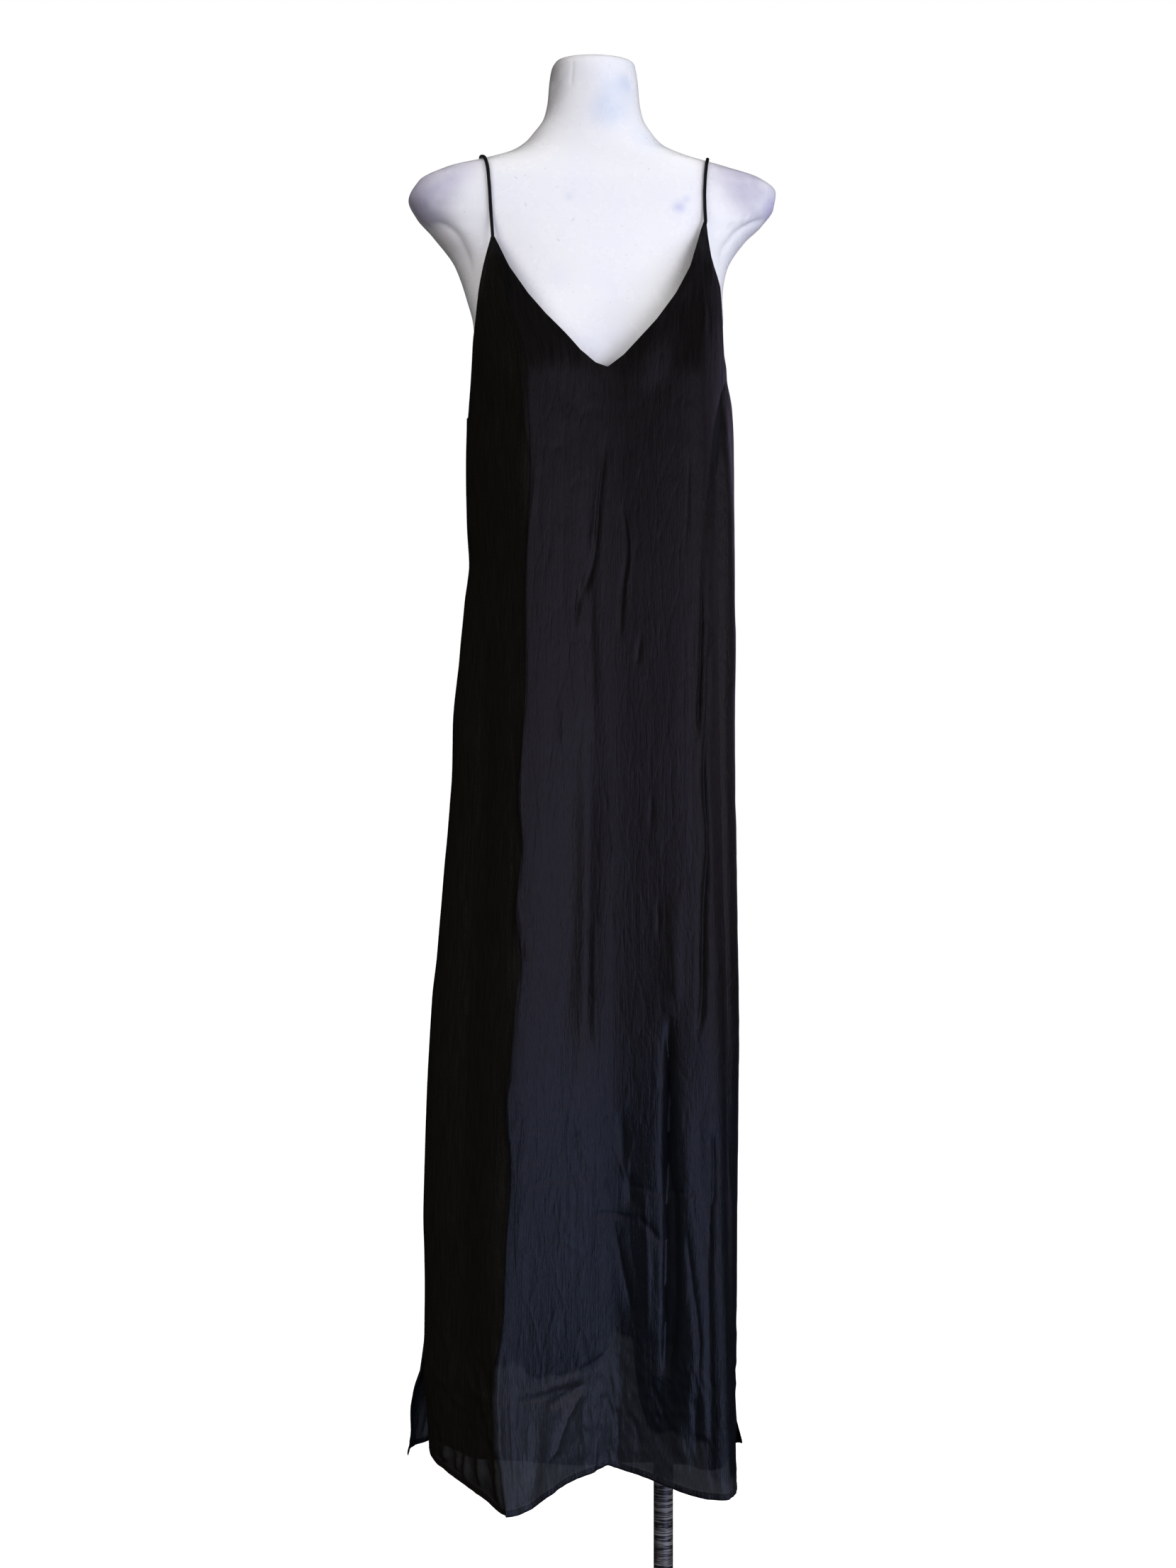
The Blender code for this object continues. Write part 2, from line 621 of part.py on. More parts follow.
def make_lining(cloth, panel, per_span, top_rows):
    columns = columns_of(4, per_span)
    columns = [columns[0], *columns[2:-2:2], columns[-1]]
    grid = []
    for across in columns:
        foot = cloth.lining_hems[panel].at(across)[0]
        top = min(cloth.top_of(panel, across) - LINING_SET_BACK, LINING_TOP)
        heights = [foot, *LINING_LEVELS]
        highest = heights[-1]
        heights += [highest + (top - highest) * row / top_rows for row in range(1, top_rows + 1)]
        column = []
        for height in heights:
            near_edge = smooth_step((height - top + EDGE_TUCK_REACH) / EDGE_TUCK_REACH)
            tuck = (LAYER_GAP - EDGE_LAYER_GAP) * near_edge
            column.append(cloth.lining_point(panel, across, height, tuck))
        grid.append(column)
    outer = np.array(grid).transpose(1, 0, 2)
    inner = inner_face(cloth, panel, columns, outer, np.full(len(outer), LINING_CLOTH))
    points, faces = wall(outer, inner)
    add_mesh(f"lining_{panel}", points, faces, "black_lining", 50)


# ---- The straps ----


def smooth_route(points, count):
    """Points at even steps of a curve that passes through the given ones."""
    points = [np.array(point) for point in points]
    ends = [2 * points[0] - points[1], *points, 2 * points[-1] - points[-2]]
    route = []
    for step in range(count):
        place = (len(points) - 1) * step / (count - 1)
        index = min(int(place), len(points) - 2)
        part = place - index
        before, start, end, after = ends[index : index + 4]
        leave, arrive = (end - before) / 2, (after - start) / 2
        point = (2 * part**3 - 3 * part**2 + 1) * start + (part**3 - 2 * part**2 + part) * leave
        route.append(point + (-2 * part**3 + 3 * part**2) * end + (part**3 - part**2) * arrive)
    return route


def even_steps(points, count):
    """The same route as this many points at even distances."""
    points = np.array(points)
    run = np.concatenate([[0], np.cumsum(np.linalg.norm(np.diff(points, axis=0), axis=1))])
    stops = np.linspace(0, run[-1], count)
    return np.stack([np.interp(stops, run, points[:, axis]) for axis in range(3)], axis=1)


def lift_off(form, point, clearance):
    """The point moved straight off the form's surface until it is at least this clear of it."""
    point = Vector(point)
    nearest, normal, _, distance = form.find_nearest(point)
    signed = distance if (point - nearest).dot(normal) >= 0 else -distance
    return point + normal * max(0.0, clearance - signed)


def make_strap(name, form, over_shoulder, front_seat, back_seat):
    lift = np.array((0.0, 0.0, STRAP_SEAT_GAP))
    route = smooth_route([front_seat + lift, *over_shoulder, back_seat + lift], STRAP_POINTS)
    for _ in range(STRAP_SETTLING):
        route = even_steps(route, STRAP_POINTS)
        route[1:-1] = [lift_off(form, point, STRAP_RADIUS + STRAP_FORM_GAP) for point in route[1:-1]]
    points = [Vector(point) for point in route]
    curve = bpy.data.curves.new(name, "CURVE")
    curve.dimensions = "3D"
    spline = curve.splines.new("POLY")
    spline.points.add(len(points) - 1)
    for place, point in zip(spline.points, points):
        place.co = (*point, 1.0)
    curve.bevel_depth = STRAP_RADIUS
    curve.bevel_resolution = STRAP_SIDES_RESOLUTION
    curve.use_fill_caps = True
    add_object(name, curve, "black_satin")


# ---- The pole and the base ----


def make_stand():
    pole_foot = BASE_HEIGHT + CLEARANCE
    pole_top = FORM_BOTTOM - CLEARANCE
    bore = POLE_RADIUS + CLEARANCE
    pole_rings = []
    for height in (pole_foot, pole_top):
        turn = [2 * math.pi * step / POLE_SIDES for step in range(POLE_SIDES)]
        pole_rings.append(
            [(POLE_RADIUS * math.cos(angle), POLE_RADIUS * math.sin(angle), height) for angle in turn]
        )
    pole = add_mesh("pole", *ring_loft(pole_rings), "dark_steel", 30)
    pole.location.x = POLE_X

    def collar_profile(seat, away):
        """A flanged collar's section: the flange lies at its seat, and the sleeve points away from it."""
        flange_end = seat + away * FLANGE_HEIGHT
        sleeve_end = seat + away * COLLAR_HEIGHT
        profile = [
            (bore, seat), (FLANGE_RADIUS, seat), (FLANGE_RADIUS, flange_end), (COLLAR_RADIUS, flange_end),
            (COLLAR_RADIUS, sleeve_end), (bore, sleeve_end),
        ]
        return profile if away > 0 else list(reversed(profile))

    for name, seat, away in (("base_collar", pole_foot, 1), ("form_collar", pole_top, -1)):
        collar = add_mesh(name, *turned(collar_profile(seat, away), POLE_SIDES), "dark_steel", 30)
        collar.location.x = POLE_X

    shoulder = BASE_HEIGHT - BASE_BEVEL
    rings = []
    for radius, height in ((BASE_RADIUS, 0.0), (BASE_RADIUS, shoulder), (BASE_RADIUS - BASE_BEVEL, BASE_HEIGHT)):
        turn = [2 * math.pi * step / BASE_SIDES for step in range(BASE_SIDES)]
        rings.append([(radius * math.cos(angle), radius * math.sin(angle), height) for angle in turn])
    add_mesh("base_plate", *ring_loft(rings), "base_steel", 30)


def main():
    clear_scene()
    form = make_form()
    cloth = Cloth(form)
    front_seats = make_panel(cloth, "front", FRONT_COLUMNS_PER_SPAN, FRONT_TOP_ROWS)
    back_seats = make_panel(cloth, "back", BACK_COLUMNS_PER_SPAN, BACK_TOP_ROWS)
    make_lining(cloth, "front", FRONT_COLUMNS_PER_SPAN, FRONT_TOP_ROWS)
    make_lining(cloth, "back", BACK_COLUMNS_PER_SPAN, BACK_TOP_ROWS)
    make_strap("strap_left", form, STRAP_ROUTES["strap_left"], front_seats[0], back_seats[1])
    make_strap("strap_right", form, STRAP_ROUTES["strap_right"], front_seats[1], back_seats[0])
    make_stand()


main()
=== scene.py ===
"""Looks of the slip dress on its limbless form: fine cloth, a glossy shell, a worn pole and a pale studio.

Metres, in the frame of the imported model: +Z up, the front faces -Y, the origin on the floor under the
form's axis. Each fine piece stands where a plain solid of the frame stands, and replaces it.

The dress is a tube of cloth round the form. A ring of eight rails gives its section at each height, the
front panel takes the front half of the ring and the back panel the back half. Folds, creases and crinkles
move it in and out.
"""

import math

import bpy
import numpy as np
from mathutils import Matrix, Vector
from mathutils.bvhtree import BVHTree

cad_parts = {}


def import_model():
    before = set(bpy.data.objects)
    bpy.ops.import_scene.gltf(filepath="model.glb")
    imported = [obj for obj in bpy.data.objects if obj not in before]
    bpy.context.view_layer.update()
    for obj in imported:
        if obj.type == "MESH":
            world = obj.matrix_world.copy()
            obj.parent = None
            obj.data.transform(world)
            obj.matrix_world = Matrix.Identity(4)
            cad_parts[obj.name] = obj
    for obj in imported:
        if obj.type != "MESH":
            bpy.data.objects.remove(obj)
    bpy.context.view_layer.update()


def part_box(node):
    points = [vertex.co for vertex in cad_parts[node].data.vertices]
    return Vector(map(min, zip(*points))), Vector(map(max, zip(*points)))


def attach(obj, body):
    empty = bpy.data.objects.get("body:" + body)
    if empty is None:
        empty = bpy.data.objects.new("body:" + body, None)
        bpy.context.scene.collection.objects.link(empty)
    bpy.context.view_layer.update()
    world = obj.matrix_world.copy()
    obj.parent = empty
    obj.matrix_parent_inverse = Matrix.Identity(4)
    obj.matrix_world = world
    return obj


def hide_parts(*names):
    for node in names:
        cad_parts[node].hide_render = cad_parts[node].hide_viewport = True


# ---- The view ----

VIEW_TURN = math.radians(9.0)
VIEW_DISTANCE = 2.700
VIEW_HEIGHT = 0.930
VIEW_SIDESTEP = 0.0079
SENSOR = 36.0
LENS = 58.59

# ---- The cloth's sizes ----

CLOTH = 0.0012
LINING_CLOTH = 0.0010
LAYER_GAP = 0.0018
EDGE_LAYER_GAP = 0.0009
EDGE_TUCK_REACH = 0.030
FORM_GAP = 0.0018
# Cloth that comes near the form lies off it softly. Lacks are counted in softnesses.
CONTACT_SOFTNESS = 0.0012
CONTACT_REACH = 0.030
CONTACT_NIL = -5.0
CONTACT_FULL = 30.0
LEAST_LEVEL = 0.2
PANEL_WIDTH = 0.480

# Edges are turned to the inside: how deep, and how far in from an edge the lines of its band lie.
TURNED_EDGE = 0.0009
LINING_TURN = 0.0006
EDGE_BAND = 0.0045
EDGE_STEPS = (0.0, 0.0005, 0.0014, 0.0028, EDGE_BAND)
HEM_BAND = 0.0068
STITCH_LINE = 0.0058
HEM_STEPS = (0.0, 0.0005, 0.0018, 0.0034, 0.0048, STITCH_LINE, HEM_BAND, 0.0078, 0.0092)
HEM_RAISE = 0.0005
HEM_STEP = 0.0008
STITCH_SINK = 0.00035
STITCH_GROOVE = 0.0007

# Waves of the hem and of the top edge: length along the edge, and height. Those of the hem fade out at this
# many of its bands above the edge.
HEM_PUCKER = (0.0042, 0.00030)
PUCKER_HEIGHT = 0.020
PUCKER_BANDS = 1.6
EDGE_PUCKER = (0.0060, 0.00018)

SLIT_TOP = 0.308
SLIT_FOOT = 0.210
SLIT_REACH = 0.060
SLIT_WIDTH = 0.460
# How far a panel stops short of its side seams, as a share of its way across.
SEAM_INSET = 0.00045
# Above the slits the cloth has no creases for this far beside its seams. For this far below its top edge its
# crinkles grow weaker, down to this share of their height.
SEAM_CALM = 0.034
EDGE_CALM = 0.022
EDGE_CRINKLE = 0.2

LINING_SET_BACK = 0.004
LINING_TOP = 1.472

STRAP_RADIUS = 0.00185
STRAP_FORM_GAP = 0.0001
STRAP_POINTS = 90
STRAP_SETTLING = 8
# Above this height the strap is drawn down on the form where it is nearer than this.
STRAP_DRAW_ABOVE = 1.565
STRAP_DRAW = 0.012
STRAP_SIDES = 14
STRAP_UNEVEN = 0.06
STRAP_LUMPS = 46
# The strap is sewn into a panel this many rows and this share of the way below the top edge.
STRAP_SEAT_ROWS = 4
STRAP_SEAT_SHARE = 0.8
STRAP_POINT_REACH = 0.006
# Where across a panel its two straps are sewn in.
STRAP_PLACES = (1 / 4, 3 / 4)
TUBE_END = 0.55

# ---- The form's sizes ----

FORM_COLUMNS = 232
# The form's rings lie closer together in the part that shows, above this height.
FORM_SHOWS = 1.30
FORM_ROWS_PER_METRE = (110, 470)
BUST_SPACING = 0.087
BUST_HEIGHT = 1.343
BUST_SWELL = 0.036
BUST_SPREAD = 0.046
BUST_ABOVE = 0.062
BUST_BELOW = 0.048
BUST_SIDE_FADE = 1.6

# Sections of the form: height, half width, lean towards +X, reach to the front and to the back, squareness.
FORM_SECTIONS = (
    (0.8600, 0.1180, 0.000, 0.0760, 0.0900, 2.20),
    (0.8640, 0.1235, 0.000, 0.0800, 0.0950, 2.20),
    (0.8800, 0.1250, 0.000, 0.0810, 0.0960, 2.15),
    (0.9300, 0.1280, 0.000, 0.0810, 0.1030, 2.05),
    (0.9850, 0.1285, 0.000, 0.0820, 0.1050, 2.00),
    (1.0500, 0.1215, 0.000, 0.0820, 0.0940, 2.00),
    (1.1200, 0.1090, 0.000, 0.0790, 0.0750, 2.00),
    (1.1900, 0.1030, 0.000, 0.0770, 0.0650, 2.05),
    (1.2600, 0.1120, 0.000, 0.0820, 0.0720, 2.20),
    (1.3300, 0.1240, 0.001, 0.0880, 0.0830, 2.25),
    (1.3800, 0.1285, 0.003, 0.0890, 0.0890, 2.30),
    (1.4145, 0.1320, 0.003, 0.0850, 0.0915, 2.40),
    (1.4445, 0.1360, -0.001, 0.0780, 0.0920, 2.40),
    (1.4745, 0.1440, -0.004, 0.0710, 0.0900, 2.40),
    (1.5075, 0.1670, -0.006, 0.0630, 0.0850, 2.50),
    (1.5255, 0.1845, -0.005, 0.0590, 0.0810, 2.60),
    (1.5435, 0.1945, -0.003, 0.0555, 0.0760, 2.60),
    (1.5600, 0.1910, 0.003, 0.0520, 0.0700, 2.60),
    (1.5745, 0.1690, 0.008, 0.0480, 0.0630, 2.50),
    (1.5838, 0.1350, 0.009, 0.0460, 0.0600, 2.35),
    (1.5945, 0.0960, 0.004, 0.0445, 0.0570, 2.20),
    (1.6048, 0.0750, -0.001, 0.0435, 0.0545, 2.10),
    (1.6155, 0.0645, -0.002, 0.0430, 0.0530, 2.00),
    (1.6335, 0.0525, -0.002, 0.0430, 0.0505, 2.00),
    (1.6515, 0.0485, -0.002, 0.0430, 0.0490, 2.00),
    (1.6695, 0.0470, -0.002, 0.0430, 0.0480, 2.00),
    (1.6845, 0.0445, -0.002, 0.0405, 0.0460, 2.00),
    (1.6915, 0.0415, -0.001, 0.0350, 0.0415, 2.00),
    (1.6945, 0.0355, -0.001, 0.0240, 0.0330, 2.00),
    (1.6955, 0.0230, -0.002, 0.0140, 0.0220, 2.00),
)

# ---- The ring of the dress ----

# Eight rails at each height, x then y, round the ring: left seam, left front corner, centre front, right
# front corner, right seam, right back, centre back, left back.
RAILS = (
    (0.190, -0.178, 0.024, -0.107, -0.137, 0.001, -0.076, 0.115, -0.131, 0.140, -0.024,
     0.114, 0.108, 0.000, 0.110, -0.127, 0.124),
    (0.300, -0.180, 0.020, -0.114, -0.134, 0.001, -0.088, 0.113, -0.131, 0.138, -0.022,
     0.114, 0.107, 0.000, 0.113, -0.127, 0.122),
    (0.450, -0.179, 0.018, -0.112, -0.131, 0.001, -0.100, 0.110, -0.128, 0.141, -0.018,
     0.114, 0.106, 0.000, 0.116, -0.125, 0.119),
    (0.700, -0.171, 0.015, -0.103, -0.127, 0.001, -0.110, 0.106, -0.125, 0.1475, -0.012,
     0.113, 0.104, 0.000, 0.119, -0.120, 0.112),
    (0.850, -0.157, 0.013, -0.097, -0.125, 0.001, -0.113, 0.101, -0.122, 0.147, -0.010,
     0.109, 0.102, 0.000, 0.121, -0.113, 0.108),
    (0.980, -0.1495, 0.012, -0.093, -0.123, 0.001, -0.115, 0.097, -0.120, 0.1475, -0.008,
     0.106, 0.100, 0.000, 0.122, -0.106, 0.103),
    (1.160, -0.132, 0.008, -0.090, -0.120, 0.000, -0.114, 0.095, -0.118, 0.148, -0.006,
     0.098, 0.086, 0.000, 0.106, -0.096, 0.087),
    (1.250, -0.1355, 0.006, -0.090, -0.119, 0.000, -0.112, 0.094, -0.117, 0.147, -0.004,
     0.092, 0.082, 0.000, 0.101, -0.092, 0.082),
    (1.345, -0.135, 0.005, -0.089, -0.118, 0.000, -0.108, 0.092, -0.117, 0.143, -0.002,
     0.087, 0.080, 0.000, 0.099, -0.088, 0.080),
    (1.430, -0.137, 0.003, -0.105, -0.083, -0.003, -0.098, 0.099, -0.086, 0.141, 0.000,
     0.085, 0.082, 0.000, 0.100, -0.086, 0.082),
    (1.505, -0.140, 0.000, -0.1195, -0.056, -0.005, -0.086, 0.106, -0.056, 0.140, 0.000,
     0.085, 0.080, 0.000, 0.098, -0.086, 0.080),
)
# How round the ring turns at each rail: low is a crease, 0.5 an even curve.
RAIL_ROUNDNESS = (0.45, 0.08, 0.32, 0.34, 0.42, 0.42, 0.50, 0.42)
RAIL_COUNT = len(RAIL_ROUNDNESS)
PANEL_RAILS = RAIL_COUNT // 2
# Where the left front corner lies, across the front panel.
CORNER_PLACE = 0.25
# The left front corner wavers: height, and how far it lies towards +X of its rail.
CORNER_WAVER = (
    (0.190, -0.005), (0.235, -0.004), (0.280, -0.008), (0.335, -0.007), (0.400, -0.002), (0.470, 0.000),
    (0.535, 0.003), (0.600, -0.004), (0.640, 0.000), (0.700, 0.003), (0.748, 0.007), (0.800, -0.002),
    (0.860, 0.003), (0.920, -0.003), (1.030, 0.003), (1.120, 0.001), (1.190, 0.002), (1.250, 0.006),
    (1.320, 0.001), (1.400, 0.000),
)
CORNER_WAVER_REACH = 0.022
# The side seams waver too: height, how far the left one lies towards -X of its rail, and the right one
# towards +X.
SIDE_WAVER = (
    (0.200, 0.0000, -0.0050), (0.235, 0.0000, -0.0020), (0.270, 0.0000, 0.0000), (0.315, 0.0010, -0.0044),
    (0.350, -0.0008, -0.0050), (0.390, -0.0008, -0.0038), (0.430, 0.0000, -0.0027),
    (0.480, 0.0018, -0.0022), (0.540, 0.0015, -0.0014), (0.600, 0.0015, -0.0010), (0.650, 0.0010, 0.0001),
    (0.705, 0.0002, 0.0006), (0.745, -0.0013, 0.0008), (0.785, -0.0004, 0.0013), (0.840, 0.0007, 0.0020),
    (0.880, -0.0005, 0.0022), (0.915, -0.0013, 0.0010), (0.935, -0.0019, 0.0010),
    (0.970, -0.0005, 0.0007), (1.010, 0.0018, 0.0007), (1.050, 0.0023, 0.0009), (1.085, 0.0037, 0.0012),
    (1.120, 0.0041, 0.0001), (1.145, 0.0022, 0.0002), (1.160, 0.0009, 0.0002), (1.195, 0.0020, 0.0003),
    (1.235, 0.0012, 0.0006), (1.270, 0.0014, 0.0014), (1.310, 0.0009, 0.0026), (1.345, 0.0010, 0.0016),
    (1.380, 0.0012, 0.0000), (1.430, 0.0010, -0.0010), (1.505, 0.0005, -0.0010),
)
SIDE_WAVER_REACH = 0.130
# The neckline stands off the chest: its place across, its reach across, how far, and how far down that goes.
NECKLINE_GAPE = ((0.640, 0.075, 0.0095), (0.370, 0.060, 0.0035))
GAPE_DOWN = 0.075

# The panels' top edges, x then height, from one armhole to the other.
TOP_EDGES = {
    "front": (
        (-0.1356, 1.3150), (-0.1352, 1.3248), (-0.1340, 1.3497), (-0.1333, 1.3700), (-0.1328, 1.3923),
        (-0.1310, 1.4195), (-0.1297, 1.4410), (-0.1258, 1.4640), (-0.1235, 1.4744), (-0.1186, 1.4935),
        (-0.1154, 1.4935), (-0.1015, 1.4596), (-0.0840, 1.4302), (-0.0672, 1.4080), (-0.0485, 1.3880),
        (-0.0332, 1.3706), (-0.0175, 1.3582), (-0.0047, 1.3542), (0.0116, 1.3670), (0.0301, 1.3872),
        (0.0452, 1.4039), (0.0668, 1.4323), (0.0860, 1.4651), (0.1050, 1.5165), (0.1076, 1.5165),
        (0.1110, 1.4924), (0.1129, 1.4812), (0.1159, 1.4704), (0.1205, 1.4602), (0.1242, 1.4500),
        (0.1251, 1.4389), (0.1256, 1.4150), (0.1261, 1.3926), (0.1272, 1.3785), (0.1313, 1.3653),
        (0.1370, 1.3500), (0.1420, 1.3350), (0.1445, 1.3247),
    ),
    "back": (
        (-0.1350, 1.3150), (-0.1280, 1.3290), (-0.1100, 1.3560), (-0.0900, 1.3840), (-0.0860, 1.3840),
        (-0.0600, 1.3640), (-0.0300, 1.3520), (0.0000, 1.3490), (0.0300, 1.3520), (0.0600, 1.3640),
        (0.0850, 1.3840), (0.0890, 1.3840), (0.1100, 1.3560), (0.1300, 1.3300), (0.1420, 1.3247),
    ),
}
EDGE_SEARCH = (1.30, 1.53)
EDGE_HALVINGS = 22
RING_STEP = 0.01

# Hem heights across a panel, from its first seam (0) to its second (1).
HEMS = {
    "front": (
        (0.00, 0.2240), (0.04, 0.2200), (0.08, 0.2155), (0.12, 0.2106), (0.16, 0.2055), (0.20, 0.1980),
        (0.25, 0.1976), (0.30, 0.1987), (0.34, 0.2043), (0.37, 0.2102), (0.39, 0.2158), (0.42, 0.2208),
        (0.455, 0.2240), (0.495, 0.2300), (0.53, 0.2262), (0.58, 0.2195), (0.62, 0.2120), (0.67, 0.2047),
        (0.70, 0.2034), (0.75, 0.2037), (0.80, 0.2058), (0.85, 0.2050), (0.92, 0.2060), (1.00, 0.2110),
    ),
    "back": (
        (0.00, 0.2265), (0.05, 0.221), (0.10, 0.188), (0.18, 0.177), (0.50, 0.181), (0.70, 0.187),
        (0.80, 0.204), (0.87, 0.216), (0.94, 0.213), (1.00, 0.209),
    ),
}
LINING_HEMS = {
    "front": (
        (0.00, 0.345), (0.25, 0.352), (0.39, 0.332), (0.46, 0.341), (0.515, 0.366), (0.56, 0.362),
        (0.61, 0.326), (0.75, 0.315), (1.00, 0.318),
    ),
    "back": (
        (0.00, 0.318), (0.50, 0.338), (1.00, 0.345),
    ),
}
# Below these heights, across a panel, the cloth looks sheer: at the lining's hem, or lower where folds lie
# behind it. There it is painted paler, as light showing through it.
SHEER_HEMS = {
    "front": (
        (0.00, 0.345), (0.25, 0.352), (0.39, 0.332), (0.46, 0.341), (0.50, 0.366), (0.55, 0.364),
        (0.57, 0.300), (0.60, 0.262), (0.63, 0.268), (0.68, 0.264), (0.70, 0.226), (1.00, 0.222),
    ),
    "back": LINING_HEMS["back"],
}
# The sheer part's upper edge is ragged: size across and down, height.
SHEER_RAGGED = (0.010, 0.024, 0.007)
# How far the lining hangs inside the cloth's inner face, by height.
LINING_STAND_OFF = (
    (0.300, 0.0160), (0.700, 0.0160), (0.840, 0.0110), (1.120, 0.0100), (1.220, 0.0075),
    (1.290, LAYER_GAP), (1.520, LAYER_GAP),
)
# How far each free hem corner below a slit swings from the seam's line: x, y.
SLIT_SWING = {
    ("front", 0): (0.005, -0.006),
    ("front", 1): (-0.004, -0.042),
    ("back", 0): (0.022, 0.026),
    ("back", 1): (-0.014, 0.046),
}
# Where such a corner's edge bulges besides: how far along x, at which height, and its reach up and down.
FLAP_BULGE = {("back", 0): (0.0036, 0.226, 0.022), ("back", 1): (-0.0072, 0.278, 0.034)}

# Folds: place across the panel at the fold's top and foot, height of its top and foot, half width across,
# depth (outward is positive).
FOLDS = {
    "front": (
        (0.845, 0.830, 1.340, 0.560, 0.012, -0.0070),
        (0.885, 0.875, 1.340, 0.300, 0.026, 0.0050),
        (0.620, 0.618, 0.700, 0.290, 0.012, -0.0022),
        (0.650, 0.660, 0.690, 0.250, 0.024, 0.0034),
        (0.700, 0.700, 0.560, 0.240, 0.010, -0.0024),
        (0.585, 0.580, 0.640, 0.330, 0.020, 0.0015),
        (0.420, 0.440, 1.240, 0.980, 0.016, -0.0030),
        (0.440, 0.430, 1.020, 0.660, 0.026, -0.0045),
        (0.225, 0.230, 0.640, 0.300, 0.020, -0.0050),
        (0.100, 0.120, 1.120, 0.250, 0.034, -0.0060),
        (0.370, 0.330, 0.330, 0.215, 0.018, 0.0060),
    ),
    "back": (
        (0.300, 0.270, 0.860, 0.200, 0.040, -0.0110),
        (0.400, 0.400, 0.930, 0.200, 0.036, 0.0100),
        (0.520, 0.500, 0.850, 0.200, 0.038, -0.0120),
        (0.640, 0.620, 0.950, 0.200, 0.036, 0.0100),
        (0.740, 0.750, 0.870, 0.200, 0.040, -0.0110),
        (0.300, 0.280, 1.320, 1.060, 0.036, 0.0040),
        (0.680, 0.700, 1.320, 1.050, 0.036, 0.0040),
    ),
}
# Height over which a fold comes in, and the share of its strength that it still has at its foot.
FOLD_FADE = 0.14
FOLD_FOOT = 0.5

# ---- Creases given one by one ----

# A crease's route is read at this many places for each of its points, and its slopes end this many half
# widths away. It fades over this length at each end, or this share of a short one.
ROUTE_STEPS = 8
CREASE_REACH = 3.2
CREASE_FADE = 0.040
CREASE_FADE_SHARE = 0.30

